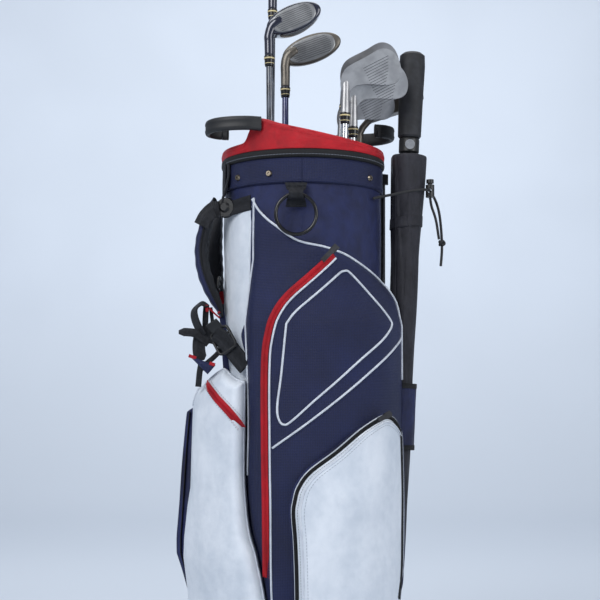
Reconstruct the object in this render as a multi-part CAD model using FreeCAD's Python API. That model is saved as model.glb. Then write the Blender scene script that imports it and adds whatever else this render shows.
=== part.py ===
import FreeCAD, Part
import math
import os

# Golf stand bag with its clubs and umbrella. Millimetres, +Z up, the origin on
# the floor at the centre of the bag's base. The strap hangs on the -X side, the
# stand legs and the umbrella are on the +X side, and the big pockets face -Y.

V = FreeCAD.Vector
X_AXIS = V(1, 0, 0)
Y_AXIS = V(0, 1, 0)
Z_AXIS = V(0, 0, 1)

# ---- driving dimensions ----------------------------------------------------
GAP = 0.4                 # clearance between pieces that don't touch
TALL = 1400.0             # higher than anything, for the solids that only cut
RUN = 0.06                # radial clearance of a pin or a shaft in its bore
BODY_RX = 116.0           # bag tube, half width across X
BODY_RY = 106.0           # bag tube, half depth across Y
WIDE = BODY_RX / 116.0    # outlines and club places are given for a tube this wide
DEEP = BODY_RY / 106.0    # and this deep
BODY_WALL = 2.5
BODY_BOTTOM = 46.0
COLLAR_TOP = 793.0        # sets the height of the bag and of all that hangs at its top
COLLAR_BOTTOM = COLLAR_TOP - 36.0
TOP_RISE = COLLAR_TOP - 793.0  # how far the pieces at the bag's top have moved up
COLLAR_THICK = 3.4
TRIM_HEIGHT = 12.0
TRIM_THICK = 5.2
CUFF_THICK = 6.0          # wall of the moulded cuff outside the tube
CUFF_RIM = COLLAR_TOP + 26.0   # height of the plain rim
CUFF_PEAK_X = 0.534 * BODY_RX  # where its peaks are, either side of the middle
DIVIDER_DEPTH = 40.0
DIVIDER_WALL = 2.4
DIVIDER_SPINE_X = 15.0 * WIDE  # the wall that parts the woods from the irons

BOOT_HEIGHT = 44.0
BOOT_WALL = 5.0
BOOT_FLOOR = 4.0
BOOT_FLOOR_Z = 12.0
FOOT_THICK = 8.0
FOOT_MARGIN = 16.0        # the foot plate stands this far inside the boot
FOOT_LIFT = 0.5           # underside of the foot plate above the floor
FOOT_HINGE_R = 3.0

HANDLE_HEIGHT = 20.0
HANDLE_THICK = 5.0
FRONT_HANDLE_Z = COLLAR_TOP + 39.0
REAR_HANDLE_Z = COLLAR_TOP + 59.0

POCKET_BOTTOM = 48.0
APPAREL_RX = BODY_RX + 32.0
APPAREL_RY = BODY_RY + 24.0
APPAREL_BACK_Y = -18.0    # the pocket's side ends in front of the umbrella
BALL_RX = BODY_RX + 38.0
BALL_RY = BODY_RY + 52.0
SIDE_RX = BODY_RX + 64.0
SIDE_RY = BODY_RY + 34.0
SIDE_BACK_Y = -8.0
REAR_RX = BODY_RX + 77.0
REAR_RY = BODY_RY + 22.0
REAR_FRONT_Y = -6.0
REAR_BACK_Y = 72.0

FOOT_Z = 18.0             # height of the clubs' butt ends
RIM_Z = COLLAR_TOP + 47.0  # height at which a club's place in the mouth is given
GRIP_LENGTH = 265.0
GRIP_BUTT_R = 12.4
GRIP_END_R = 8.6
SHAFT_BUTT_R = 7.4
SHAFT_TIP_R = 4.7
HOSEL_R = 6.8
HOSEL_BORE = 30.0
FERRULE_LENGTH = 16.0
IRON_SOLE = 52.0

UMBRELLA_TIP = V(BODY_RX + 14.5, 8.0, 62.0)
UMBRELLA_TOP = V(BODY_RX + 49.0, 8.0, 972.0)
UMBRELLA_GRIP_LENGTH = 128.0
UMBRELLA_GRIP_R = 19.6
BUTTON_R = 7.4
UMBRELLA_COLLAR_LENGTH = 24.0
CANOPY_TOP_R = 24.0
CANOPY_MID_R = 20.0
CANOPY_TIP_R = 12.0
SLEEVE_BOTTOM = 376.0
SLEEVE_TOP = 474.0
SLEEVE_WALL = 2.5

LEG_R = 6.5
LEG_TOP_Z = COLLAR_TOP - 3.0
LEG_LENGTH = LEG_TOP_Z - 100.0
LEG_FOOT_R = 10.0
LEG_FRONT_Y = 48.0
LEG_BACK_Y = 76.0
LEG_PIN_R = 3.0

CORD_R = 2.0
RING_R = 31.0
RING_WIRE_R = 2.6

parts = {}


def add(node, *solids):
    """Keep solids under a node name; a node may hold several."""
    parts.setdefault(node, []).extend(solids)


# ---- geometry helpers ------------------------------------------------------
def oval(rx, ry, z0, z1):
    """Upright solid oval column between two heights."""
    if rx >= ry:
        curve = Part.Ellipse(V(0, 0, z0), rx, ry)
    else:
        curve = Part.Ellipse(V(0, ry, z0), V(rx, 0, z0), V(0, 0, z0))
    wire = Part.Wire([curve.toShape()])
    return Part.Face(wire).extrude(V(0, 0, z1 - z0))


def oval_tube(rx, ry, wall, z0, z1):
    return oval(rx, ry, z0, z1).cut(oval(rx - wall, ry - wall, z0 - 1, z1 + 1))


def on_oval(rx, ry, angle):
    """Point of an oval at a parameter angle in degrees."""
    a = math.radians(angle)
    return rx * math.cos(a), ry * math.sin(a)


def slab(x0, x1, y0, y1, z0, z1):
    return Part.makeBox(x1 - x0, y1 - y0, z1 - z0, V(x0, y0, z0))


def rod(p, q, r0, r1=None):
    """Round rod, or a taper when two radii are given, from p to q."""
    axis = q - p
    if r1 is None or abs(r1 - r0) < 1e-6:
        return Part.makeCylinder(r0, axis.Length, p, axis)
    return Part.makeCone(r0, r1, axis.Length, p, axis)


def smooth_loop(points):
    """Closed smooth curve through points, as a wire."""
    curve = Part.BSplineCurve()
    curve.interpolate(points, PeriodicFlag=True)
    return Part.Wire([curve.toShape()])


def front_outline(points, y=-400.0, depth=800.0, grow=0.0):
    """Prism along Y from a closed polygon of (x, z) points."""
    corners = [V(x, y, z) for x, z in points]
    wire = Part.makePolygon(corners + [corners[0]])
    face = Part.Face(wire)
    if grow:
        face = face.makeOffset2D(grow)
        face = Part.Face(face.Wires[0]) if not face.Faces else face.Faces[0]
    return face.extrude(V(0, depth, 0))


def fitted(points, rise=0.0):
    """Outline of (x, z) points spread to the tube's width and raised."""
    return [(x * WIDE, z + rise) for x, z in points]


def swept_band(points, height, thick):
    """Upright band along an open plan route with rounded corners."""
    edges = rounded_route(points)
    path = Part.Wire(edges)
    start = points[0]
    ahead = (points[1] - points[0]).normalize()
    side = ahead.cross(Z_AXIS) * (thick / 2.0)
    up = V(0, 0, height)
    a = start - side
    b = start + side
    profile = Part.makePolygon([a, b, b + up, a + up, a])
    return path.makePipeShell([profile], True, False)


def rounded_route(points, report=None):
    """Straight runs joined by tangent arcs, as large as the runs allow."""
    edges = []
    last = points[0]
    for i in range(1, len(points) - 1):
        a, b, c = points[i - 1], points[i], points[i + 1]
        into = (a - b).normalize()
        out = (c - b).normalize()
        turn = math.pi - into.getAngle(out)
        reach = 0.45 * min((a - b).Length, (c - b).Length)
        radius = reach / math.tan(turn / 2.0)
        if report is not None:
            report.append(radius)
        p = b + into * reach
        q = b + out * reach
        middle = (into + out).normalize()
        bulge = radius / math.cos(turn / 2.0) - radius
        edges.append(Part.LineSegment(last, p).toShape())
        edges.append(Part.Arc(p, b + middle * bulge, q).toShape())
        last = q
    edges.append(Part.LineSegment(last, points[-1]).toShape())
    return edges


def cord_tube(points, radius, name):
    """Round cord along a route; prints its bend radii and its volume check."""
    radii = []
    path = Part.Wire(rounded_route(points, radii))
    ahead = points[1] - points[0]
    ring = Part.Wire([Part.makeCircle(radius, points[0], ahead)])
    tube = path.makePipeShell([ring], True, False)
    section = math.pi * radius ** 2
    share = tube.Volume / (section * path.Length)
    print(name, "radii", [round(r, 1) for r in radii], "volume share", round(share, 4))
    return tube


def oval_loft(stations):
    """Upright column through ovals given as (z, rx, ry), straight between."""
    wires = []
    for z, rx, ry in stations:
        wires.append(Part.Wire([Part.Ellipse(V(0, 0, z), rx, ry).toShape()]))
    return Part.makeLoft(wires, True, True)


def along(p, q, share):
    return p + (q - p) * share


def side_frame(y):
    """Point of the bag tube on its +X side at a given y, and its normal there."""
    x = BODY_RX * math.sqrt(1 - (y / BODY_RY) ** 2)
    normal = V(x / BODY_RX ** 2, y / BODY_RY ** 2, 0).normalize()
    return V(x, y, 0), normal


# ---- the bag's tube, base and mouth ----------------------------------------
def base():
    lip = BODY_BOTTOM - BOOT_HEIGHT
    rx = BODY_RX + lip
    ry = BODY_RY + lip
    boot = oval_tube(rx, ry, BOOT_WALL, 0, BOOT_HEIGHT)
    floor = oval(rx, ry, BOOT_FLOOR_Z, BOOT_FLOOR_Z + BOOT_FLOOR)
    spigot_rx = BODY_RX - BODY_WALL - GAP
    spigot_ry = BODY_RY - BODY_WALL - GAP
    spigot = oval_tube(spigot_rx, spigot_ry, BOOT_WALL, BOOT_FLOOR_Z, BODY_BOTTOM + 20)
    boot = boot.fuse([floor, spigot])
    plate_rx = BODY_RX - FOOT_MARGIN
    plate_ry = BODY_RY - FOOT_MARGIN
    plate = oval(plate_rx, plate_ry, FOOT_LIFT, FOOT_LIFT + FOOT_THICK)
    hinge_x = plate_rx - 14
    plate = plate.common(slab(-400, hinge_x + 0.5, -400, 400, 0, FOOT_THICK + 1))
    axis_z = FOOT_LIFT + FOOT_THICK / 2
    bore = rod(V(hinge_x - 4, -60, axis_z), V(hinge_x - 4, 60, axis_z), FOOT_HINGE_R + RUN)
    plate = plate.cut(bore)
    pin = rod(V(hinge_x - 4, -52, axis_z), V(hinge_x - 4, 52, axis_z), FOOT_HINGE_R)
    for side in (-1, 1):
        ear = slab(hinge_x - 9, hinge_x + 1, 44, 52, 1.0, BOOT_FLOOR_Z + 0.5)
        if side < 0:
            ear = ear.mirror(V(0, 0, 0), Y_AXIS)
        grown = slab(hinge_x - 20, hinge_x + 8, 43.6, 52.4, 0, FOOT_THICK + 2)
        if side < 0:
            grown = grown.mirror(V(0, 0, 0), Y_AXIS)
        plate = plate.cut(grown)
        boot = boot.fuse(ear)
    boot = boot.fuse(pin)
    add("base_boot", boot)
    add("base_foot", *plate.Solids)


def tube_and_mouth():
    shell_top = COLLAR_TOP + 7
    add("body_shell", oval_tube(BODY_RX, BODY_RY, BODY_WALL, BODY_BOTTOM, shell_top))
    collar_rx = BODY_RX + COLLAR_THICK
    collar_ry = BODY_RY + COLLAR_THICK
    collar = oval_tube(collar_rx, collar_ry, COLLAR_THICK - 0.1, COLLAR_BOTTOM, COLLAR_TOP)
    add("collar_band", collar)
    trim_rx = BODY_RX + TRIM_THICK
    trim_ry = BODY_RY + TRIM_THICK
    trim_top = COLLAR_TOP + TRIM_HEIGHT
    trim = oval_tube(trim_rx, trim_ry, TRIM_THICK - 0.1, COLLAR_TOP, trim_top)
    add("collar_trim", trim)

    rx = BODY_RX + CUFF_THICK
    ry = BODY_RY + CUFF_THICK
    high = REAR_HANDLE_Z + HANDLE_HEIGHT + 10
    cuff = oval(rx, ry, trim_top, high)
    cuff = cuff.cut(oval(BODY_RX - BODY_WALL, BODY_RY - BODY_WALL, trim_top - 1, high + 1))
    front_peak = FRONT_HANDLE_Z + HANDLE_HEIGHT - 1
    rear_peak = REAR_HANDLE_Z + HANDLE_HEIGHT - 1
    for side, peak in ((-1, front_peak), (1, rear_peak)):
        rise = peak - CUFF_RIM
        edge = [
            (-BODY_RX - 30, CUFF_RIM),
            (-CUFF_PEAK_X - 22, CUFF_RIM + 1),
            (-CUFF_PEAK_X - 18, CUFF_RIM + 0.3 * rise),
            (-CUFF_PEAK_X - 6, CUFF_RIM + 0.97 * rise),
            (-CUFF_PEAK_X, peak),
            (-30 * WIDE, CUFF_RIM + 0.68 * rise),
            (4 * WIDE, CUFF_RIM + 0.44 * rise),
            (45 * WIDE, CUFF_RIM + 0.2 * rise),
            (90 * WIDE, CUFF_RIM),
            (BODY_RX + 30, CUFF_RIM),
            (BODY_RX + 30, high + 20),
            (-BODY_RX - 30, high + 20),
        ]
        if side < 0:
            cutter = front_outline(edge, -400, 400)
        else:
            turned = [(-x, z) for x, z in edge]
            cutter = front_outline(turned, 0, 400)
        cuff = cuff.cut(cutter)
    add("top_cuff", cuff)

    for node, z, turn in (
        ("front_lift_handle", FRONT_HANDLE_Z, 0),
        ("rear_lift_handle", REAR_HANDLE_Z, 180),
    ):
        route = [
            V(-48 * WIDE, -BODY_RY + 5, z),
            V(-104 * WIDE, -BODY_RY + 8, z),
            V(-BODY_RX - 18, -BODY_RY + 22, z),
            V(-BODY_RX - 20, -54 * DEEP, z),
            V(-108 * WIDE, -34 * DEEP, z),
        ]
        band = swept_band(route, HANDLE_HEIGHT, HANDLE_THICK)
        band = band.cut(oval(rx, ry, z - 5, z + HANDLE_HEIGHT + 5))
        band.rotate(V(0, 0, 0), Z_AXIS, turn)
        add(node, max(band.Solids, key=lambda s: s.Volume))

    for angle in (218, 246, 324, 100, 140):
        x, y = on_oval(BODY_RX, BODY_RY, angle)
        normal = V(x / BODY_RX ** 2, y / BODY_RY ** 2, 0).normalize()
        seat = V(x, y, COLLAR_BOTTOM + 14) + normal * COLLAR_THICK
        head = rod(seat + normal * 0.2, seat + normal * 2.6, 4.6, 3.6)
        socket = rod(seat + normal * 1.4, seat + normal * 3.0, 1.6)
        add("cuff_screws", head.cut(socket))


def inside():
    """Mouth divider with its wells, and the three stays that hold the tube up."""
    top = COLLAR_TOP + 6
    low = top - DIVIDER_DEPTH
    half = DIVIDER_WALL / 2
    walls = slab(DIVIDER_SPINE_X - half, DIVIDER_SPINE_X + half, -200, 200, low, top)
    for y in (-1.0 * DEEP, 30.5 * DEEP):
        walls = walls.fuse(slab(DIVIDER_SPINE_X, 200, y - half / 2, y + half / 2, low, top))
    for y in (-12.0 * DEEP, 52.0 * DEEP):
        walls = walls.fuse(slab(-200, DIVIDER_SPINE_X, y - half, y + half, low, top))
    inner_rx = BODY_RX - BODY_WALL - 0.2
    inner_ry = BODY_RY - BODY_WALL - 0.2
    walls = walls.common(oval(inner_rx, inner_ry, low, top))
    add("club_divider", walls)
    for angle in (8, 172, 268):
        x, y = on_oval(inner_rx - 4, inner_ry - 4, angle)
        foot = BOOT_FLOOR_Z + BOOT_FLOOR + 54
        add("frame_stays", rod(V(x, y, foot), V(x, y, low - 2), 2.5))


# ---- pockets ----------------------------------------------------------------
BALL_OUTLINE = [
    (-13, POCKET_BOTTOM), (-13, 175), (-15, 248), (-18, 291), (-16, 309), (-10, 330),
    (7, 353), (43, 380), (78, 409), (105, 426), (121, 430), (135, 423),
    (144, 409), (147, 389), (150, 283), (148, 209), (144, 162), (140, POCKET_BOTTOM),
]
APPAREL_OUTLINE = [
    (-40, POCKET_BOTTOM + 40), (-60, 217), (-72, 261), (-77, 297), (-80, 342), (-79, 449),
    (-73, 640), (-71, 739), (-63, 724), (-51, 710), (-38, 699), (-7, 677), (32, 668),
    (62, 658), (88, 643), (111, 627), (128, 611), (142, 591), (149, 560), (152, 537),
    (152, POCKET_BOTTOM + 40),
]
SIDE_OUTLINE = [
    (-170, POCKET_BOTTOM), (-178, 216), (-177, 244), (-172, 292), (-167, 321), (-163, 444),
    (-155, 467), (-147, 472), (-134, 485), (-122, 495), (-112, 499), (-103, 506),
    (-88, 500), (-81, 449), (-82, 342), (-79, 297), (-74, 261), (-62, 217),
    (-44, POCKET_BOTTOM + 40), (-44, POCKET_BOTTOM),
]
REAR_OUTLINE = [
    (-172, POCKET_BOTTOM), (-173, 159), (-185, 197), (-193, 218), (-191, 243), (-187, 308),
    (-182, 375), (-179, 407), (-173, 444), (-120, 452), (-60, 452), (-60, POCKET_BOTTOM),
]


def pockets():
    core = oval(BODY_RX + GAP, BODY_RY + GAP, 0, TALL)
    ball = front_outline(fitted(BALL_OUTLINE))
    ball = ball.common(oval(BALL_RX, BALL_RY, POCKET_BOTTOM, 440))
    ball = ball.common(slab(-400, 400, -400, APPAREL_BACK_Y, 0, TALL)).cut(core)
    add("ball_pocket", *ball.Solids)

    column = oval_loft([
        (POCKET_BOTTOM, APPAREL_RX - 6, APPAREL_RY - 4),
        (430, APPAREL_RX, APPAREL_RY),
        (560, APPAREL_RX, APPAREL_RY),
        (650, BODY_RX + 6, BODY_RY + 11),
        (745, BODY_RX + 2, BODY_RY + 2),
    ])
    apparel = front_outline(fitted(APPAREL_OUTLINE)).common(column)
    apparel = apparel.common(slab(-400, 400, -400, APPAREL_BACK_Y, 0, TALL)).cut(core)
    apparel = apparel.cut(front_outline(fitted(BALL_OUTLINE), grow=GAP))
    add("apparel_pocket", max(apparel.Solids, key=lambda s: s.Volume))

    side = front_outline(fitted(SIDE_OUTLINE))
    side = side.common(oval(SIDE_RX, SIDE_RY, POCKET_BOTTOM, 520))
    side = side.common(slab(-400, 400, -400, SIDE_BACK_Y, 0, TALL)).cut(core)
    side = side.cut(front_outline(fitted(APPAREL_OUTLINE), grow=GAP))
    add("side_pocket", max(side.Solids, key=lambda s: s.Volume))

    rear = front_outline(fitted(REAR_OUTLINE))
    rear = rear.common(oval(REAR_RX, REAR_RY, POCKET_BOTTOM, 460))
    rear = rear.common(slab(-400, 400, REAR_FRONT_Y, REAR_BACK_Y, 0, TALL)).cut(core)
    add("rear_pocket", max(rear.Solids, key=lambda s: s.Volume))


def zip_slider(node, seat, travel):
    """Zip slider with its pull: a waisted block riding along a zip."""
    ahead = V(travel).normalize()
    out = V(0, -1, 0)
    side = ahead.cross(out).normalize()
    out = side.cross(ahead).normalize()
    turn = FreeCAD.Matrix(
        ahead.x, side.x, out.x, seat.x,
        ahead.y, side.y, out.y, seat.y,
        ahead.z, side.z, out.z, seat.z,
        0, 0, 0, 1,
    )
    block = slab(-6, 6, -4.5, 4.5, 0, 3.5)
    arch = slab(-3, 3, -1.5, 1.5, 3.5, 5.5)
    pull = slab(2.2, 26, -3.5, 3.5, 5.5, 7.5)
    shape = block.fuse([arch, slab(-3, 4, -2.5, 2.5, 5.5, 7.5), pull])
    shape.transformShape(turn)
    add(node, shape)


def zips():
    apparel = V(43 * WIDE, -APPAREL_RY - 0.5, 660)
    ball = V(118 * WIDE, -BODY_RY - 6, 428)
    zip_slider("apparel_zip_slider", apparel, V(-28, -8, -30))
    zip_slider("ball_zip_slider", ball, V(-37, -38, -18))


# ---- clubs -------------------------------------------------------------------
# name, kind, foot point, place in the mouth (both x, y), how far above the
# collar's top the head starts on the shaft
CLUBS = [
    ("driver", "wood", (-60, 45), (-50, 68), 267),
    ("fairway_wood", "wood", (-40, -50), (-48, -58), 157),
    ("hybrid", "wood", (-28, 30), (-27, 36), 136),
    ("front_iron", "iron", (45, -60), (60, -72), 71),
    ("second_iron", "iron", (64, -28), (73, -45), 57),
    ("third_iron", "iron", (36, -8), (60, -16), 97),
    ("back_iron", "iron", (44, 24), (58, 14), 41),
    ("putter", "putter", (66, 52), (86, 46), 49),
]
# half width, depth behind the widest line, half height, tilt, the centre of the
# widest line from the hosel, and how far in front of it the flat face is
WOOD_HEADS = {
    "driver": (56, 92, 29, 20, (47, 2, 62), 10),
    "fairway_wood": (42, 56, 20, 22, (36, 2, 53), 8),
    "hybrid": (47, 28, 22, 20, (40, 2, 58), 7),
}
FACE_SHARE = 0.72         # the face plane's place in the head's front bulge


def club_axis(foot, mouth):
    low = V(foot[0] * WIDE, foot[1] * DEEP, FOOT_Z)
    high = V(mouth[0] * WIDE, mouth[1] * DEEP, RIM_Z)
    return low, (high - low).normalize()


def shaft_radius(z, length):
    return SHAFT_BUTT_R + (SHAFT_TIP_R - SHAFT_BUTT_R) * z / length


def club_shaft(length):
    """Tapered shaft and its ferrule, butt at the origin."""
    tip = length + HOSEL_BORE - 1
    shaft = rod(V(0, 0, 4), V(0, 0, tip), SHAFT_BUTT_R, SHAFT_TIP_R)
    r = shaft_radius(length, tip) + 0.1
    low = V(0, 0, length - FERRULE_LENGTH)
    ferrule = rod(low, V(0, 0, length - 0.2), r + 0.9, HOSEL_R)
    ferrule = ferrule.cut(rod(low - V(0, 0, 1), V(0, 0, length + 1), r + 0.1))
    return [shaft, ferrule]


def club_grip(length):
    """Rubber grip with a capped butt end over the shaft."""
    tip = length + HOSEL_BORE - 1
    sleeve = rod(V(0, 0, 0), V(0, 0, GRIP_LENGTH), GRIP_BUTT_R, GRIP_END_R)
    bore = rod(V(0, 0, 4), V(0, 0, tip), SHAFT_BUTT_R + RUN, SHAFT_TIP_R + RUN)
    return [sleeve.cut(bore)]


def hosel(height, top_r=HOSEL_R):
    return rod(V(0, 0, 0), V(0, 0, height), HOSEL_R, top_r)


def hosel_hole(length):
    """The bore that takes the shaft's tip, in the head's own frame."""
    tip = length + HOSEL_BORE - 1
    r = shaft_radius(length, tip) + 0.12
    return rod(V(0, 0, -1), V(0, 0, HOSEL_BORE), r, SHAFT_TIP_R + 0.1)


def iron_head(length):
    """Blade with a raised sole on top, a swept face and a hosel below."""
    edge = [
        (-6, 32), (-7, 47), (-1, 60), (10, 68), (32, 80), (IRON_SOLE, 90), (66, 87),
        (76, 76), (80, 62), (76, 49), (64, 43), (44, 42), (24, 41), (10, 35), (3, 28),
    ]
    wire = smooth_loop([V(x, -20, z) for x, z in edge])
    blade = Part.Face(wire).extrude(V(0, 40, 0))
    section = [
        (-12.0, 1.0), (8.5, 1.0), (9.5, -7.0), (-1.5, -15.0),
        (11.5, -52.0), (12.0, -80.0), (8.0, -80.0), (7.5, -52.0),
    ]
    corners = [V(-80, y, h) for y, h in section]
    wedge = Part.Face(Part.makePolygon(corners + [corners[0]])).extrude(V(220, 0, 0))
    wedge.rotate(V(0, 0, 0), Y_AXIS, -28)
    wedge.translate(V(10, 0, 69))
    blade = blade.common(wedge)
    blade = max(blade.Solids, key=lambda s: s.Volume)
    head = blade.fuse(hosel(52, 5.2)).removeSplitter()
    return [head.cut(hosel_hole(length)).Solids[0]]


def wood_head(name, length):
    """Rounded hollow-bodied head with a flat face, and its hosel."""
    half_x, back, half_z, tilt, centre, front = WOOD_HEADS[name]
    halves = []
    for depth, side in ((front / FACE_SHARE, -1), (back, 1)):
        scale = FreeCAD.Matrix(half_x, 0, 0, 0, 0, depth, 0, 0, 0, 0, half_z, 0, 0, 0, 0, 1)
        ball = Part.makeSphere(1.0).transformGeometry(scale)
        keep = slab(-200, 200, 0, 200, -200, 200)
        if side < 0:
            keep = slab(-200, 200, -front, 0, -200, 200)
        halves.append(ball.common(keep))
    body = halves[0].fuse(halves[1])
    body.rotate(V(0, 0, 0), Y_AXIS, -tilt)
    body.translate(V(*centre))
    head = body.fuse(hosel(centre[2] - half_z * 0.4, HOSEL_R + 1))
    head = head.cut(hosel_hole(length))
    return [max(head.Solids, key=lambda s: s.Volume)]


def putter_head(length):
    """Toe-up heavy head on a cranked neck."""
    edge = [(16, 44), (20, 38), (90, 62), (97, 72), (95, 88), (88, 92), (22, 68), (16, 60)]
    bar = front_outline(edge, -9, 25)
    pocket = front_outline([(34, 46), (74, 60), (70, 72), (30, 58)], -1, 40)
    neck = hosel(16)
    joints = [V(0, 0, 16), V(5, 0, 27), V(14, 0, 38), V(24, 0, 48)]
    for p, q in zip(joints, joints[1:]):
        neck = neck.fuse([rod(p, q, 5.2), Part.makeSphere(5.2, p)])
    head = bar.cut(pocket).fuse(neck)
    short = rod(V(0, 0, -1), V(0, 0, 14), SHAFT_TIP_R + 0.6)
    return [max(head.cut(short).Solids, key=lambda s: s.Volume)]


def clubs():
    for name, kind, foot, mouth, rise in CLUBS:
        low, axis = club_axis(foot, mouth)
        length = (COLLAR_TOP + rise - FOOT_Z) / axis.z
        if kind == "iron":
            head = iron_head(length)
        elif kind == "wood":
            head = wood_head(name, length)
        else:
            head = putter_head(length)
        for solid in head:
            solid.translate(V(0, 0, length))
        shaft = club_shaft(length)
        if kind == "putter":
            stop = slab(-20, 20, -20, 20, length + 13, length + 60)
            shaft = [shaft[0].cut(stop), shaft[1]]
        turn = FreeCAD.Rotation(Z_AXIS, axis)
        tilt_axis, angle = turn.Axis, math.degrees(turn.Angle)
        for node, solids in (
            (name + "_head", head),
            (name + "_shaft", shaft),
            (name + "_grip", club_grip(length)),
        ):
            for solid in solids:
                solid.rotate(V(0, 0, 0), tilt_axis, angle)
                solid.translate(low)
                add(node, solid)


# ---- umbrella -----------------------------------------------------------------
def placed(shape, origin, axis):
    turn = FreeCAD.Rotation(Z_AXIS, axis)
    shape.rotate(V(0, 0, 0), turn.Axis, math.degrees(turn.Angle))
    shape.translate(origin)
    return shape


def turned(stations):
    """Solid of revolution about Z from (radius, height) stations."""
    pts = [V(0, 0, stations[0][1])]
    pts += [V(r, 0, z) for r, z in stations]
    pts += [V(0, 0, stations[-1][1]), V(0, 0, stations[0][1])]
    return Part.Face(Part.makePolygon(pts)).revolve(V(0, 0, 0), Z_AXIS, 360)


def umbrella():
    axis = UMBRELLA_TOP - UMBRELLA_TIP
    length = axis.Length
    grip_low = length - UMBRELLA_GRIP_LENGTH
    collar_low = grip_low - UMBRELLA_COLLAR_LENGTH
    shaft_r = 4.5
    shaft = turned([(2.5, 0), (shaft_r, 8), (shaft_r, length - 12)])
    bore = rod(V(0, 0, -5), V(0, 0, length - 11.5), shaft_r + RUN)
    canopy = turned([
        (9, 26), (CANOPY_TIP_R, 60), (17, 150), (CANOPY_MID_R, 300), (CANOPY_MID_R, 470),
        (CANOPY_TOP_R - 1, 620), (CANOPY_TOP_R, 690), (CANOPY_TOP_R, collar_low - 4),
        (CANOPY_TOP_R - 2, collar_low - 2), (14, collar_low - 1.5),
    ])
    canopy = canopy.cut(bore)
    grip = turned([
        (15.6, grip_low + 0.4), (17.4, grip_low + 3), (18.4, grip_low + 60),
        (UMBRELLA_GRIP_R, length - 20), (UMBRELLA_GRIP_R - 1, length - 4),
        (UMBRELLA_GRIP_R - 6, length),
    ])
    grip = grip.cut(bore)
    collar = turned([
        (13, collar_low + 0.4), (15.3, collar_low + 3), (15.3, grip_low - 3), (14, grip_low),
    ])
    button_z = collar_low + UMBRELLA_COLLAR_LENGTH / 2
    collar = collar.cut(bore)
    collar = collar.cut(rod(V(0, -20, button_z), V(0, -6.5, button_z), BUTTON_R + 0.1))
    button = rod(V(0, -17.6, button_z), V(0, -9, button_z), BUTTON_R)
    for node, solid in (
        ("umbrella_shaft", shaft),
        ("umbrella_canopy", canopy),
        ("umbrella_grip", grip),
        ("umbrella_collar", collar),
        ("umbrella_button", button),
    ):
        add(node, placed(solid, UMBRELLA_TIP, axis))

    low = along(UMBRELLA_TIP, UMBRELLA_TOP, (SLEEVE_BOTTOM - UMBRELLA_TIP.z) / axis.z)
    high = along(UMBRELLA_TIP, UMBRELLA_TOP, (SLEEVE_TOP - UMBRELLA_TIP.z) / axis.z)
    inner = CANOPY_MID_R + 2.0
    sleeve = rod(low, high, inner + SLEEVE_WALL).cut(rod(low - axis, high + axis, inner))
    sleeve = sleeve.cut(oval(BODY_RX + GAP, BODY_RY + GAP, 0, TALL))
    add("umbrella_sleeve", max(sleeve.Solids, key=lambda s: s.Volume))


# ---- stand legs ---------------------------------------------------------------
def stand():
    plate_out = COLLAR_THICK + 7.0
    knuckle_r = 8.0
    reach = plate_out + 1.5 + knuckle_r
    low_z = LEG_TOP_Z - 16
    high_z = COLLAR_TOP - 1
    rx = BODY_RX + plate_out
    ry = BODY_RY + plate_out
    inner_rx = BODY_RX + COLLAR_THICK + 0.1
    inner_ry = BODY_RY + COLLAR_THICK + 0.1
    bracket = oval(rx, ry, low_z, high_z).cut(oval(inner_rx, inner_ry, 0, TALL))
    bracket = bracket.common(slab(0, 200, LEG_FRONT_Y - 14, LEG_BACK_Y + 16, 0, TALL))
    bracket = bracket.Solids[0]
    for node, y in (("front_leg", LEG_FRONT_Y), ("back_leg", LEG_BACK_Y)):
        point, normal = side_frame(y)
        side = Z_AXIS.cross(normal)
        pivot = point + normal * reach + V(0, 0, LEG_TOP_Z)
        for share in (-1, 1):
            centre = pivot + side * (share * 9.0)
            ear = Part.makeBox(reach - COLLAR_THICK, 4, 16, V(0, -2, -8))
            turn = FreeCAD.Rotation(X_AXIS, normal)
            ear.rotate(V(0, 0, 0), turn.Axis, math.degrees(turn.Angle))
            ear.translate(centre - normal * (reach - COLLAR_THICK - 6))
            bracket = bracket.fuse(ear.cut(oval(inner_rx, inner_ry, 0, TALL)))
        pin = rod(pivot - side * 11.5, pivot + side * 11.5, LEG_PIN_R)
        bracket = bracket.fuse(pin)
        knuckle = rod(pivot - side * 5.8, pivot + side * 5.8, knuckle_r)
        foot = pivot - V(0, 0, LEG_LENGTH)
        leg = knuckle.fuse(rod(pivot - V(0, 0, 4), foot, LEG_R))
        leg = leg.cut(rod(pivot - side * 12, pivot + side * 12, LEG_PIN_R + RUN))
        add(node, max(leg.Solids, key=lambda s: s.Volume))
        shoe = rod(foot - V(0, 0, 14), foot + V(0, 0, 20), LEG_FOOT_R)
        shoe = shoe.cut(rod(foot, foot + V(0, 0, 30), LEG_R + 0.1))
        add(node, shoe)
    add("leg_bracket", bracket)

    point, normal = side_frame((LEG_FRONT_Y + LEG_BACK_Y) / 2)
    line = point + normal * 7.0
    wire_rod = rod(line + V(0, 0, 62), line + V(0, 0, 700), 2.5)
    yoke = Part.makeCylinder(5.0, 14, line + V(0, 0, 700), Z_AXIS)
    add("actuator_rod", wire_rod.fuse(yoke))


# ---- strap, ring and cord -----------------------------------------------------
def body_patch(outline, inner, thick):
    """Thin piece lying on the front of the bag tube, from a front outline."""
    z_low = min(z for x, z in outline) - 1
    z_high = max(z for x, z in outline) + 1
    outer = oval(BODY_RX + inner + thick, BODY_RY + inner + thick, z_low, z_high)
    ring = outer.cut(oval(BODY_RX + inner, BODY_RY + inner, z_low - 1, z_high + 1))
    patch = ring.common(front_outline(outline, -400, 394))
    return max(patch.Solids, key=lambda s: s.Volume)


def hung(points):
    """Outline of a piece hung outside the tube from the strap's top ring."""
    return [(x + 116 - BODY_RX, z + TOP_RISE) for x, z in points]


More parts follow.
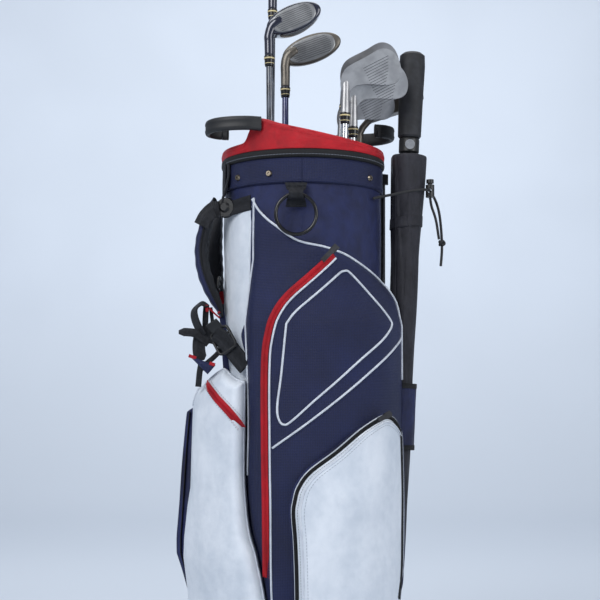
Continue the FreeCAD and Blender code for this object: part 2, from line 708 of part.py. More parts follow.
def strap():
    facing = V(-0.35, -0.94, 0).normalize()
    seat = V(-0.9655 * BODY_RX, -0.495 * BODY_RY, COLLAR_TOP - 63)
    hub = rod(seat, seat + facing * 6, 15, 13.5)
    dome = rod(seat + facing * 6, seat + facing * 9.5, 8, 5)
    add("strap_hub", hub.fuse(dome))

    pad = [
        (-131, 752), (-147, 734), (-158, 708), (-163, 682), (-162, 652), (-156, 626),
        (-146, 600), (-134, 580), (-122, 567), (-119, 575), (-129, 603), (-138, 630),
        (-143, 656), (-144, 680), (-140, 700), (-133, 718), (-129, 740),
    ]
    rear_pad = [
        (-122, 748), (-134, 730), (-145, 706), (-150, 680), (-150, 652), (-145, 626),
        (-136, 602), (-126, 584), (-120, 574), (-118, 584), (-121, 604), (-126, 630),
        (-130, 656), (-131, 680), (-128, 700), (-121, 720), (-118, 740),
    ]
    add("shoulder_strap_pads", front_outline(hung(pad), -56, 50))
    add("shoulder_strap_pads", front_outline(hung(rear_pad), 6, 50))

    tie = [(-96, 723), (-78, 727), (-78, 745), (-96, 742)]
    add("strap_webbing", body_patch(fitted(tie, TOP_RISE), 0.4, 2.4))
    drop = [(-151, 600), (-160, 578), (-157, 552), (-149, 536), (-152, 506), (-149, 506),
            (-146, 536), (-153, 553), (-156, 577), (-148, 599)]
    add("strap_webbing", front_outline(hung(drop), -46, 30))
    tail = [(-122, 552), (-96, 543), (-84, 512), (-84, 500), (-98, 512), (-122, 530)]
    add("strap_webbing", body_patch(fitted(tail), 0.4, 2.4))

    frame = [(-122, 511), (-95, 511), (-95, 546), (-122, 546)]
    hole = [(-116, 519), (-101, 519), (-101, 538), (-116, 538)]
    ladder = body_patch(fitted(frame), 3.4, 6).cut(front_outline(fitted(hole), -400, 400))
    add("strap_buckles", ladder)
    buckle_x = -BODY_RX - 15.5
    buckle_z = COLLAR_TOP - 177
    add("strap_buckles", slab(buckle_x, buckle_x + 11, -42, -14, buckle_z, buckle_z + 14))


def towel_ring():
    centre = V(-10, -BODY_RY - 17, COLLAR_TOP - 83)
    ring = Part.makeTorus(RING_R - RING_WIRE_R, RING_WIRE_R, centre, Y_AXIS)
    add("towel_ring", ring)
    top = centre.z + RING_R - RING_WIRE_R
    y = centre.y
    tab = slab(-20, 0, y - 7, -BODY_RY + 5, top - 9, top + 15)
    tab = tab.cut(rod(V(-30, y, top), V(10, y, top), RING_WIRE_R * 2))
    tab = tab.cut(oval(BODY_RX + 0.4, BODY_RY + 0.4, 0, TALL))
    tab = tab.cut(oval(BODY_RX + COLLAR_THICK + 0.1, BODY_RY + COLLAR_THICK + 0.1,
                       COLLAR_BOTTOM, 900))
    add("towel_tab", max(tab.Solids, key=lambda s: s.Volume))


CORD_ROUTE = [
    (101.5, -61, 742), (115, -56, 746), (132, -43, 751), (150, -30, 757), (172, -25, 761),
    (187.5, -11, 764), (193, 9, 763), (201, 17, 752), (206, 16, 735), (208, 13, 716),
    (209, 10, 699), (209.5, 8.5, 684), (209, 8, 667), (207.5, 8, 652),
]
CORD_STRAND = [
    (190.7, 0, 753.6), (192, 1, 742), (197, 2, 730), (200.5, 2, 717), (202.5, 3.5, 704),
    (204.7, 6.2, 692),
]
LOCK_CENTRE = (190.5, -0.2, 763.5)


def beside_umbrella(p):
    """A cord point, kept by the umbrella when the tube's width or height changes."""
    return V(*p) + V(BODY_RX - 116, 0, TOP_RISE)


def elastic_cord():
    main = cord_tube([beside_umbrella(p) for p in CORD_ROUTE], CORD_R, "umbrella cord")
    strand = cord_tube([beside_umbrella(p) for p in CORD_STRAND], CORD_R, "cord strand")
    knot = Part.makeSphere(5.2, beside_umbrella((209.3, 8.6, 686))).cut(main).cut(strand)
    add("umbrella_cord", main, strand.cut(main))
    add("umbrella_cord", max(knot.Solids, key=lambda s: s.Volume))
    x, y, z = beside_umbrella(LOCK_CENTRE)
    barrel = rod(V(x, y, z - 9.5), V(x, y, z + 9), 6.5)
    barrel = barrel.cut(rod(V(x - 6, y - 20, z), V(x + 6, y + 20, z), 3.4))
    barrel = barrel.cut(rod(V(x, y, z + 5), V(x, y, z + 20), 3.2))
    add("cord_lock_barrel", *barrel.Solids)
    plunger = rod(V(x, y, z + 11.5), V(x, y, z + 17), 5.6)
    plunger = plunger.fuse(rod(V(x, y, z + 7.5), V(x, y, z + 12), 3.12))
    add("cord_lock_plunger", plunger)


def write_parts():
    os.makedirs("parts", exist_ok=True)
    for node, solids in parts.items():
        shape = solids[0] if len(solids) == 1 else Part.makeCompound(solids)
        for solid in solids:
            if not solid.isValid():
                print("not valid:", node)
        shape.exportStep("parts/" + node + ".step")
    print(len(parts), "nodes")


base()
tube_and_mouth()
inside()
pockets()
zips()
clubs()
umbrella()
stand()
strap()
towel_ring()
elastic_cord()
write_parts()
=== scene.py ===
"""Looks of a golf stand bag with its clubs and umbrella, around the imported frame.

Every soft surface is a grid of two parameters worked out as whole numpy arrays,
in metres, in the frame's own axes: +Z up, the big pockets face -Y.
"""
import math

import bmesh
import bpy
import numpy as np
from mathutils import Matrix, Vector


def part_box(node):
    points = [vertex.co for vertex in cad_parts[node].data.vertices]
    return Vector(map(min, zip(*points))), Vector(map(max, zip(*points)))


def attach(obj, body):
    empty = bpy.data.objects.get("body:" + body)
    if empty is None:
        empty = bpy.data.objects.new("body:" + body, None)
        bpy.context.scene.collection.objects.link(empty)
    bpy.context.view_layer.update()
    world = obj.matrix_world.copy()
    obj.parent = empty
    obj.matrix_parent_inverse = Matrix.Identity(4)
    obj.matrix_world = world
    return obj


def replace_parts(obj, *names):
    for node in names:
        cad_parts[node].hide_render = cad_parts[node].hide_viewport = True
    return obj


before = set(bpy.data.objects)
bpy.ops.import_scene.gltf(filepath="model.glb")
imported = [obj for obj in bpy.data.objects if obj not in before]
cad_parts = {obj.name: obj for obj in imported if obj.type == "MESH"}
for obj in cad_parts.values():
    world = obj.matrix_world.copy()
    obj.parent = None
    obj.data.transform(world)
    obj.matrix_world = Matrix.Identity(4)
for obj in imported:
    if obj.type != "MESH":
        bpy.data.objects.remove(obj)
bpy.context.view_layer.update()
MM = 0.001

# ---- sizes taken from the frame ---------------------------------------------
SHELL = np.array(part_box("body_shell"))
BODY_RX = (SHELL[1][0] - SHELL[0][0]) / 2
BODY_RY = (SHELL[1][1] - SHELL[0][1]) / 2
COLLAR = np.array(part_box("collar_band"))
TRIM = np.array(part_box("collar_trim"))
CUFF = np.array(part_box("top_cuff"))


# ---- arrays and meshes -------------------------------------------------------
def unit(v):
    """Vectors scaled to length one along the last axis."""
    return v / np.maximum(np.linalg.norm(v, axis=-1, keepdims=True), 1e-12)


def smooth(edge0, edge1, x):
    """Cubic ease 3t^2 - 2t^3 of x between two edges."""
    t = np.clip((x - edge0) / (edge1 - edge0), 0, 1)
    return t * t * (3 - 2 * t)


def curve_through(points, count, closed=False):
    """Evenly spaced points of a Catmull-Rom curve through a few points."""
    p = np.array(points, float)
    if closed:
        p = np.vstack([p[-1], p, p[0], p[1]])
    else:
        p = np.vstack([2 * p[0] - p[1], p, 2 * p[-1] - p[-2]])
    t = np.linspace(0, 1, 24, endpoint=False)[None, :, None]
    a, b, c, d = (p[i:len(p) - 3 + i][:, None, :] for i in range(4))
    fine = 0.5 * (2 * b + (c - a) * t + (2 * a - 5 * b + 4 * c - d) * t ** 2
                  + (3 * b - a - 3 * c + d) * t ** 3)
    fine = np.vstack([fine.reshape(-1, p.shape[1]), p[-2][None]])
    return resample(fine, count)


def resample(points, count):
    """A polyline's points, spread evenly by length."""
    p = np.asarray(points, float)
    run = np.concatenate([[0], np.cumsum(np.linalg.norm(np.diff(p, axis=0), axis=1))])
    at = np.linspace(0, run[-1], count)
    return np.stack([np.interp(at, run, p[:, k]) for k in range(p.shape[1])], axis=1)


def length_of(points):
    return float(np.linalg.norm(np.diff(points, axis=0), axis=1).sum())


def grid_faces(n, m, wrap_u=False, wrap_v=False, base=0):
    """Quads of an n by m grid, as index rows."""
    i = np.arange(n if wrap_u else n - 1)
    j = np.arange(m if wrap_v else m - 1)
    i, j = np.meshgrid(i, j, indexing="ij")
    i2 = (i + 1) % n
    j2 = (j + 1) % m
    quads = np.stack([i * m + j, i2 * m + j, i2 * m + j2, i * m + j2], axis=-1)
    return quads.reshape(-1, 4) + base


def new_piece(name, verts, faces, material, body="bag", uv=None, flat=False, weld=False):
    """Makes a mesh piece from whole arrays, gives it a material and a body to ride on."""
    mesh = bpy.data.meshes.new(name)
    mesh.from_pydata(verts.reshape(-1, 3).tolist(), [], faces)
    if uv is not None:
        layer = mesh.uv_layers.new(name="cloth")
        loops = np.empty(len(mesh.loops), np.int64)
        mesh.loops.foreach_get("vertex_index", loops)
        layer.data.foreach_set("uv", uv.reshape(-1, 2)[loops].astype(np.float32).ravel())
    work = bmesh.new()
    work.from_mesh(mesh)
    if weld:
        bmesh.ops.remove_doubles(work, verts=work.verts, dist=1e-6)
    bmesh.ops.recalc_face_normals(work, faces=work.faces)
    work.to_mesh(mesh)
    work.free()
    mesh.polygons.foreach_set("use_smooth", np.full(len(mesh.polygons), not flat))
    mesh.update()
    piece = bpy.data.objects.new(name, mesh)
    bpy.context.scene.collection.objects.link(piece)
    mesh.materials.append(material)
    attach(piece, body)
    return piece


def grid_piece(name, points, material, body="bag", uv=None, wrap_u=False, wrap_v=False,
               ends=False, flip=False):
    """Piece from an (n, m, 3) grid; ends=True closes both ends of a wrapped grid."""
    n, m = points.shape[:2]
    faces = grid_faces(n, m, wrap_u, wrap_v)
    if flip:
        faces = faces[:, ::-1]
    faces = faces.tolist()
    if ends:
        first = list(range(m))
        last = [(n - 1) * m + k for k in range(m)]
        faces.append(first[::-1] if not flip else first)
        faces.append(last if not flip else last[::-1])
    return new_piece(name, points, faces, material, body, uv)


def joined(name, grids, material, body="bag", wrap_v=True, ends=True):
    """One piece from many small grids of the same size, an array (k, n, m, 3)."""
    grids = np.asarray(grids)
    k, n, m = grids.shape[:3]
    one = grid_faces(n, m, wrap_v=wrap_v)
    faces = (one[None] + (np.arange(k) * n * m)[:, None, None]).reshape(-1, 4).tolist()
    if ends:
        for b in range(k):
            base = b * n * m
            faces.append([base + q for q in range(m)][::-1])
            faces.append([base + (n - 1) * m + q for q in range(m)])
    return new_piece(name, grids, faces, material, body)


def frames(path, hint):
    """Tangent, a side turned towards hint, and their cross product, along a path."""
    t = unit(np.gradient(path, axis=0))
    hint = np.broadcast_to(hint, path.shape)
    n = unit(hint - (hint * t).sum(-1, keepdims=True) * t)
    return t, n, np.cross(t, n)


def sweep(path, hint, section):
    """Grid path(i) + a*n + b*side for each (a, b) of a closed section."""
    _, n, side = frames(path, hint)
    section = np.asarray(section)
    if section.ndim == 2:
        section = np.broadcast_to(section, (len(path),) + section.shape)
    return (path[:, None] + section[..., :1] * n[:, None] + section[..., 1:] * side[:, None])


def ring(radius, count=12):
    a = np.linspace(0, 2 * np.pi, count, endpoint=False)
    return np.stack([np.cos(a), np.sin(a)], axis=1) * radius


def rounded_bar(half_a, half_b, power=4.0, count=20):
    """Superellipse section |a|^p + |b|^p = 1 with half sizes along n and side."""
    a = np.linspace(0, 2 * np.pi, count, endpoint=False)
    c, s = np.cos(a), np.sin(a)
    e = 2.0 / power
    return np.stack([np.sign(c) * np.abs(c) ** e * half_a,
                     np.sign(s) * np.abs(s) ** e * half_b], axis=1)


def strip_uv(path, count):
    """UV in metres for a sweep: along the path and round the section."""
    run = np.concatenate([[0], np.cumsum(np.linalg.norm(np.diff(path, axis=0), axis=1))])
    u, v = np.meshgrid(run, np.linspace(0, 1, count), indexing="ij")
    return np.stack([u, v * 0.05], axis=-1)


def swept_piece(name, path, hint, section, material, body="bag"):
    grid = sweep(path, hint, section)
    uv = strip_uv(path, grid.shape[1])
    return grid_piece(name, grid, material, body, uv, wrap_v=True, ends=True, flip=True)


# ---- shader maths ---------------------------------------------------------------
class Value:
    """A node's output socket that can be added, multiplied and compared like a number."""

    def __init__(self, shader, socket):
        self.shader = shader
        self.socket = socket

    def math(self, operation, other=0.0, swap=False):
        a, b = (other, self) if swap else (self, other)
        return self.shader.node("ShaderNodeMath", {"operation": operation}, {0: a, 1: b})

    def __add__(self, other):
        return self.math("ADD", other)

    def __mul__(self, other):
        return self.math("MULTIPLY", other)

    def __sub__(self, other):
        return self.math("SUBTRACT", other)

    def __rsub__(self, other):
        return self.math("SUBTRACT", other, swap=True)

    def __truediv__(self, other):
        return self.math("DIVIDE", other)

    def __neg__(self):
        return self * -1.0

    __radd__ = __add__
    __rmul__ = __mul__

    def sin(self):
        return self.math("SINE")

    def abs(self):
        return self.math("ABSOLUTE")

    def max(self, other):
        return self.math("MAXIMUM", other)

    def min(self, other):
        return self.math("MINIMUM", other)

    def step(self, low, high):
        """0 below low, 1 above high, smooth between."""
        sockets = {"Value": self, "From Min": low, "From Max": high}
        return self.shader.node("ShaderNodeMapRange", {"interpolation_type": "SMOOTHSTEP"},
                                sockets)


class Shader:
    """One material's node tree, with its Principled shader."""

    def __init__(self, name):
        self.material = bpy.data.materials.new(name)
        self.material.use_nodes = True
        self.tree = self.material.node_tree
        self.shell = self.tree.nodes["Principled BSDF"]

    def node(self, kind, settings=None, sockets=None, output=0):
        node = self.tree.nodes.new(kind)
        for key, value in (settings or {}).items():
            setattr(node, key, value)
        for key, value in (sockets or {}).items():
            self.put(node.inputs[key], value)
        return Value(self, node.outputs[output])

    def put(self, socket, value):
        if isinstance(value, Value):
            self.tree.links.new(value.socket, socket)
        elif isinstance(value, tuple) and len(value) == 3 and len(socket.default_value) == 4:
            socket.default_value = (*value, 1.0)
        else:
            socket.default_value = value

    def place(self):
        return self.node("ShaderNodeTexCoord", output=3)

    def cloth(self):
        """The piece's own UV map, in metres along and across the cloth."""
        uv = self.node("ShaderNodeUVMap", {"uv_map": "cloth"})
        parts = self.node("ShaderNodeSeparateXYZ", sockets={0: uv})
        node = parts.socket.node
        return Value(self, node.outputs[0]), Value(self, node.outputs[1])

    def noise(self, size, detail=3.0, where=None, rough=0.55):
        """Noise 0..1 whose blotches are about size metres across."""
        sockets = {"Vector": where or self.place(), "Scale": 1.0 / size, "Detail": detail,
                   "Roughness": rough}
        return self.node("ShaderNodeTexNoise", sockets=sockets)

    def stretched(self, x, y, z):
        """Object coordinates stretched by a factor along each axis."""
        return self.node("ShaderNodeVectorMath", {"operation": "MULTIPLY"},
                         {0: self.place(), 1: (x, y, z)})

    def mix(self, share, a, b):
        node = self.tree.nodes.new("ShaderNodeMix")
        node.data_type = "RGBA"
        self.put(node.inputs[0], share)
        self.put(node.inputs[6], a)
        self.put(node.inputs[7], b)
        return Value(self, node.outputs[2])

    def bump(self, height, distance, strength=1.0, under=None):
        sockets = {"Height": height, "Distance": distance, "Strength": strength}
        if under is not None:
            sockets["Normal"] = under
        return self.node("ShaderNodeBump", sockets=sockets)

    def done(self, color, rough, normal=None, metal=0.0, **fixed):
        for name, value in (("Base Color", color), ("Roughness", rough), ("Metallic", metal)):
            self.put(self.shell.inputs[name], value)
        if normal is not None:
            self.put(self.shell.inputs["Normal"], normal)
        for name, value in fixed.items():
            self.put(self.shell.inputs[name.replace("_", " ")], value)
        return self.material


def srgb(r, g, b):
    """Linear colour of an 8-bit sRGB one."""
    c = np.array([r, g, b]) / 255.0
    lin = np.where(c <= 0.04045, c / 12.92, ((c + 0.055) / 1.055) ** 2.4)
    return tuple(float(v) for v in lin)


RED = srgb(186, 14, 30)
# The darker red and the darker white below are painted shade for the crease hollows of the red wrap and
# the white cloth.
RED_CREASE_SHADE = srgb(140, 6, 20)
WHITE = srgb(222, 228, 236)
WHITE_SHADE = srgb(196, 205, 216)
CHARCOAL = srgb(44, 44, 52)


# ---- finishes -----------------------------------------------------------------------
def diamond_navy():
    """Navy cloth with a raised diamond weave 2.2 mm across, and long soft creases."""
    s = Shader("navy_diamond_weave")
    u, v = s.cloth()
    turn = 2 * math.pi / 0.0044
    cell = ((u + v) * turn).sin() * ((u - v) * turn).sin()
    yarn = (u * (2 * math.pi / 0.0008)).sin() * (v * (2 * math.pi / 0.0008)).sin()
    wear = s.noise(0.09, 4)
    share = cell * 0.18 + wear * 0.5 + yarn * 0.05
    color = s.mix(share.step(0.0, 0.75), srgb(12, 18, 47), srgb(33, 44, 92))
    creases = s.noise(0.06, 3, s.stretched(1.0, 1.0, 0.45))
    normal = s.bump(creases, 0.006, 0.5)
    normal = s.bump(cell + yarn * 0.3, 0.00035, 0.7, normal)
    return s.done(color, wear * 0.16 + 0.44, normal, Sheen_Weight=0.03,
                  Specular_IOR_Level=0.3)


def plain_cloth(name, color, shade, rough, crease=0.006, pitch=0.0011, size=0.05):
    """Close plain weave with soft creases; shade is the colour of the painted shade in the crease
    hollows.
    """
    s = Shader(name)
    u, v = s.cloth()
    yarn = (u * (2 * math.pi / pitch)).sin() * (v * (2 * math.pi / pitch)).sin()
    creases = s.noise(size, 4, s.stretched(1.0, 1.0, 0.6))
    fine = s.noise(size * 0.28, 3)
    # Painted shade: the crease noise that bumps the cloth also darkens its colour towards shade in the
    # hollows; the fine noise adds a random mottle.
    tone = (creases * 0.7 + fine * 0.3).step(0.25, 0.7)
    mixed = s.mix(tone, shade, color)
    normal = s.bump(creases + fine * 0.25, crease, 0.6)
    normal = s.bump(yarn, 0.00018, 0.6, normal)
    return s.done(mixed, fine * 0.15 + rough, normal, Sheen_Weight=0.03,
                  Specular_IOR_Level=0.3)


def webbing_black():
    """Ribbed black webbing: ribs 1.6 mm apart across it and a finer weave along it."""
    s = Shader("black_webbing")
    u, v = s.cloth()
    ribs = (u * (2 * math.pi / 0.0016)).sin()
    cross = (v * (2 * math.pi / 0.0022)).sin()
    fuzz = s.noise(0.004, 2)
    color = s.mix((ribs * 0.3 + fuzz).step(0.1, 1.1), srgb(16, 17, 20), srgb(48, 50, 56))
    normal = s.bump(ribs * 0.6 + ribs * cross * 0.4, 0.0004, 0.8)
    return s.done(color, 0.62, normal, Specular_IOR_Level=0.25)


def moulded(name, color, rough=0.42, grain=0.00012, grain_size=0.0011, shade=0.72, coat=0.0):
    """Moulded plastic or rubber: fine spark-eroded grain, and rubbed high spots."""
    s = Shader(name)
    fine = s.noise(grain_size, 2)
    broad = s.noise(0.03, 3)
    dark = tuple(c * shade for c in color)
    mixed = s.mix(broad.step(0.3, 0.7), dark, color)
    return s.done(mixed, broad * 0.18 + rough - 0.09, s.bump(fine, grain, 0.8),
                  Coat_Weight=coat)


def metal(name, color, rough, brush=(1.0, 1.0, 14.0), size=0.0012, coat=0.0, depth=0.00003):
    """Metal with a fine brushed line, smudges that change its gloss, and dull patches."""
    s = Shader(name)
    lines = s.noise(size, 3, s.stretched(*brush))
    smudge = s.noise(0.018, 4)
    dull = tuple(c * 0.78 for c in color)
    mixed = s.mix(smudge.step(0.35, 0.65), dull, color)
    return s.done(mixed, smudge * 0.16 + lines * 0.08 + rough - 0.1,
                  s.bump(lines, depth, 0.7), 1.0, Coat_Weight=coat)


def painted(name, color, fleck, rough=0.16):
    """Gloss paint over metal with a fine metallic fleck and a light orange peel."""
    s = Shader(name)
    flake = s.noise(0.0006, 2).step(0.55, 0.8)
    peel = s.noise(0.004, 2)
    mixed = s.mix(flake * 0.35, color, fleck)
    return s.done(mixed, peel * 0.08 + rough, s.bump(peel, 0.00004, 0.6), 0.3,
                  Coat_Weight=0.8, Coat_Roughness=0.06)


def wound_graphite(name, color, light):
    """Lacquered graphite shaft: plies that wind round it under a clear coat."""
    s = Shader(name)
    plies = s.noise(0.004, 3, s.stretched(1.0, 1.0, 0.15))
    mixed = s.mix(plies.step(0.35, 0.7), color, light)
    return s.done(mixed, plies * 0.1 + 0.2, s.bump(plies, 0.00004, 0.5), 0.2,
                  Coat_Weight=0.7, Coat_Roughness=0.08)


def foam():
    """Closed-cell foam grip: small pores and a soft mottled sheen."""
    s = Shader("grip_foam")
    pores = s.noise(0.0013, 2)
    mottle = s.noise(0.012, 3)
    color = s.mix(mottle.step(0.3, 0.7), srgb(22, 23, 27), srgb(40, 41, 46))
    normal = s.bump(pores, 0.0002, 0.8)
    return s.done(color, mottle * 0.15 + 0.62, normal)


def club_rubber():
    """Club grip rubber with a cross-hatched tread worked round it."""
    s = Shader("club_grip_rubber")
    tread = s.noise(0.0014, 1, s.stretched(1.0, 1.0, 0.5))
    wear = s.noise(0.02, 3)
    color = s.mix(wear.step(0.3, 0.7), srgb(10, 10, 12), srgb(28, 28, 31))
    return s.done(color, wear * 0.2 + 0.6, s.bump(tread.step(0.4, 0.6), 0.0003, 0.8))


navy = diamond_navy()
# The second colour given to each plain cloth is painted shade for its crease hollows.
navy_plain = plain_cloth("navy_nylon", srgb(33, 42, 86), srgb(14, 18, 46), 0.42)
white = plain_cloth("white_coated_cloth", WHITE, WHITE_SHADE, 0.46, crease=0.005)
red = plain_cloth("red_wrap", RED, RED_CREASE_SHADE, 0.4, crease=0.002, size=0.03)
red_tape = plain_cloth("red_zip_tape", srgb(186, 14, 32), srgb(136, 6, 20), 0.5, 0.001)
black_tape = plain_cloth("black_zip_tape", srgb(22, 23, 26), srgb(10, 10, 12), 0.55, 0.001)
lining = plain_cloth("black_lining", srgb(36, 38, 44), srgb(17, 18, 22), 0.6)
umbrella_cloth = plain_cloth("umbrella_cloth", CHARCOAL, srgb(18, 18, 23), 0.44, 0.003,
                             size=0.025)
piping_white = plain_cloth("white_piping", srgb(222, 228, 236), srgb(190, 196, 208), 0.5,
                           0.0006, size=0.01)
webbing = webbing_black()
black_plastic = moulded("black_plastic", srgb(20, 21, 23))
handle_plastic = moulded("handle_plastic", srgb(25, 27, 30), 0.56)
boot_rubber = moulded("boot_rubber", srgb(22, 23, 25), 0.55, 0.0003, 0.002)
gloss_ring = moulded("ring_plastic", srgb(14, 14, 16), 0.24, 0.00004)
thread_grey = moulded("grey_thread", srgb(150, 158, 172), 0.6, 0.0001)
steel = metal("brushed_steel", (0.5, 0.5, 0.51), 0.3)
screw_steel = metal("screw_steel", (0.26, 0.22, 0.17), 0.3)
iron_satin = metal("iron_satin", (0.44, 0.44, 0.445), 0.42, (0.08, 1.0, 1.0), depth=0.00001)
shaft_chrome = metal("shaft_chrome", (0.66, 0.67, 0.69), 0.16)
face_satin = metal("satin_face", (0.25, 0.26, 0.28), 0.42, (0.08, 1.0, 1.0), depth=0.00001)
nickel = metal("satin_nickel", (0.34, 0.34, 0.35), 0.4, (0.08, 1.0, 1.0), depth=0.00001)
bronze = metal("dark_bronze", (0.17, 0.155, 0.135), 0.42, depth=0.00001)
leg_metal = metal("leg_anodised", (0.06, 0.062, 0.068), 0.34)
club_paint = painted("club_gloss_paint", srgb(24, 28, 46), srgb(80, 90, 130))
graphite = wound_graphite("graphite_shaft", srgb(40, 43, 50), srgb(84, 90, 102))
navy_shaft = wound_graphite("navy_shaft", srgb(32, 38, 82), srgb(66, 74, 120))
cream = moulded("cream_ring", srgb(216, 200, 150), 0.3)
grip_foam = foam()
grip_rubber = club_rubber()


# ---- pockets on the bag tube -----------------------------------------------------
def waves(a, z, size, seed, turns=7):
    """Soft random folds, -1..1: a sum of sines of random direction and phase."""
    draw = np.random.default_rng(seed)
    total = np.zeros(np.broadcast(a, z).shape)
    for _ in range(turns):
        heading = draw.uniform(0, 2 * np.pi)
        rate = 2 * np.pi / (size * draw.uniform(0.6, 1.8))
        phase = draw.uniform(0, 2 * np.pi)
        total += np.sin((a * np.cos(heading) * 0.14 + z * np.sin(heading)) * rate + phase)
    return total / turns ** 0.5


class Pouch:
    """A sewn pocket standing out from what lies behind it.

    A place on it is (a, z), a being an angle from -Y towards +X. Its face is the oval
    x = rx sin a, y = -ry cos a. Behind the face, at the same x, is the base oval
    y = -by sqrt(1 - (x/bx)^2), no further back than -back. k goes from 0 on the base to
    1 on the face as a quarter circle of the distance to the sewn edge. A round pouch
    shrinks towards the tube's middle instead of straight back.
    """

    def __init__(self, rx, ry, sides, edge, swell=0.0, fold=0.0, fold_size=0.09, seed=1,
                 heights=(0, 1.0), base=None, back=18, around=False):
        self.heights = np.array(heights)
        self.rx = np.broadcast_to(np.array(rx) * MM, self.heights.shape)
        self.ry = np.broadcast_to(np.array(ry) * MM, self.heights.shape)
        self.base = base or (BODY_RX, BODY_RY)
        self.back = back * MM
        self.around = around
        self.edge = edge * MM
        self.swell = swell * MM
        self.fold = fold * MM
        self.fold_size = fold_size
        self.seed = seed
        self.sides = {side: self.angles(points) for side, points in sides.items()}
        share = np.linspace(0, 1, 70)
        left, top, right, low = (side_at(self.sides[s], share)
                                 for s in ("left", "top", "right", "bottom"))
        self.rim = np.vstack([left, top, right[::-1], low[::-1]])

    def reach(self, z):
        return np.interp(z, self.heights, self.rx), np.interp(z, self.heights, self.ry)

    def angles(self, points):
        """(x, z) in mm seen from the front to (a, z); an x given as (d,) is a turn of d degrees."""
        out = []
        for x, z in points:
            rx = self.reach(z * MM)[0]
            a = math.radians(x[0]) if isinstance(x, tuple) else math.asin(
                max(-0.999, min(0.999, x * MM / rx)))
            out.append((a, z * MM))
        return np.array(out)

    def depth(self, a, z):
        """Distance to the sewn edge, over the pocket's surface."""
        scale = np.array([0.13, 1.0])
        p = (np.stack([a, z], axis=-1).reshape(-1, 1, 2) * scale).astype(np.float32)
        q = (self.rim * scale).astype(np.float32)
        seg = q[1:] - q[:-1]
        t = ((p - q[None, :-1]) * seg).sum(-1) / np.maximum((seg ** 2).sum(-1), 1e-12)
        near = q[None, :-1] + np.clip(t, 0, 1)[..., None] * seg
        d = ((p - near) ** 2).sum(-1).min(axis=1)
        return np.sqrt(d.astype(float)).reshape(np.shape(a))

    def place(self, a, z, lift=0.0, d=None):
        """Points in metres, lifted off the cloth by lift."""
        d = self.depth(a, z) if d is None else d
        e = np.clip(d / self.edge, 0, 1)
        k = np.sqrt(np.clip(1 - (1 - e) ** 2, 0, 1))
        rx, ry = self.reach(z)
        soft = smooth(0.0, 0.05, d)
        out = self.swell * smooth(0.0, 0.11, d)
        out = (out + self.fold * soft * waves(a, z, self.fold_size, self.seed)) * k + lift
        if self.around:
            bx, by = self.base
            x = (bx + (rx - bx) * k + out) * np.sin(a)
            y = -(by + (ry - by) * k + out) * np.cos(a)
            return np.stack([x, y, z], axis=-1)
        x = rx * np.sin(a)
        y = -ry * np.cos(a)
        behind = self.behind(x)
        y = behind + (np.minimum(y, behind) - behind) * k
        return np.stack([x + out * np.sin(a), y - out * np.cos(a), z], axis=-1)

    def behind(self, x):
        bx, by = self.base
        return -np.maximum(by * np.sqrt(np.clip(1 - (x / bx) ** 2, 0, 1)), self.back)

    def normal(self, a, z):
        rx, ry = self.reach(z)
        return unit(np.stack([np.sin(a) / rx, -np.cos(a) / ry, np.zeros_like(a)], axis=-1))

    def panel(self, name, material, rows=90, columns=80):
        """The pocket's cloth, closed behind: a Coons patch between the four sides."""
        t = np.linspace(0, 1, columns)
        w = np.linspace(0, 1, rows)
        u = (0.5 - 0.5 * np.cos(np.pi * t)) * 0.6 + t * 0.4
        v = (0.5 - 0.5 * np.cos(np.pi * w)) * 0.5 + w * 0.5
        left, right = (side_at(self.sides[s], v) for s in ("left", "right"))
        low, top = (side_at(self.sides[s], u) for s in ("bottom", "top"))
        uu, vv = u[:, None, None], v[None, :, None]
        corners = ((1 - uu) * (1 - vv) * low[0] + uu * (1 - vv) * low[-1]
                   + (1 - uu) * vv * top[0] + uu * vv * top[-1])
        plane = ((1 - uu) * left[None] + uu * right[None] + (1 - vv) * low[:, None]
                 + vv * top[:, None] - corners)
        a, z = plane[..., 0], plane[..., 1]
        d = self.depth(a, z)
        d[0] = d[-1] = 0
        d[:, 0] = d[:, -1] = 0
        front = self.place(a, z, d=d)
        rear = self.place(a, z, d=d * 0)
        faces = grid_faces(columns, rows)
        faces = np.vstack([faces, faces[:, ::-1] + columns * rows]).tolist()
        uv = np.stack([a * 0.13, z], axis=-1)
        verts = np.stack([front, rear])
        return new_piece(name, verts, faces, material, uv=np.stack([uv, uv]), weld=True)

    def line(self, points, count=160, inset=0.0, lift=0.0, closed=False):
        """A line on the cloth through (x, z) places, moved inset mm to its left."""
        plane = curve_through(self.angles(points), count, closed)
        if inset:
            t = unit(np.gradient(plane * (0.13, 1.0), axis=0))
            aside = np.stack([-t[:, 1] / 0.13, t[:, 0]], axis=1) * inset * MM
            plane = plane + aside
        a, z = plane[:, 0], plane[:, 1]
        return self.place(a, z, lift * MM), self.normal(a, z)


def side_at(points, shares):
    """Places along a side at shares of its length."""
    p = curve_through(points * (0.13, 1.0), 300) / (0.13, 1.0)
    at = np.linspace(0, 1, 300)
    return np.stack([np.interp(shares, at, p[:, k]) for k in (0, 1)], axis=1)


def piping(name, line, radius=1.7, material=None, body="bag"):
    """Round corded edge along a line on the cloth."""
    path, out = line
    return swept_piece(name, path, out, ring(radius * MM, 10), material or piping_white, body)


def tape(name, line, width, material, thick=0.7, body="bag"):
    """Flat tape, its section a soft-cornered bar, along a line on the cloth."""
    path, out = line
    bar = rounded_bar(thick * MM, width * MM / 2, 5.0, 16)
    return swept_piece(name, path, out, bar, material, body)


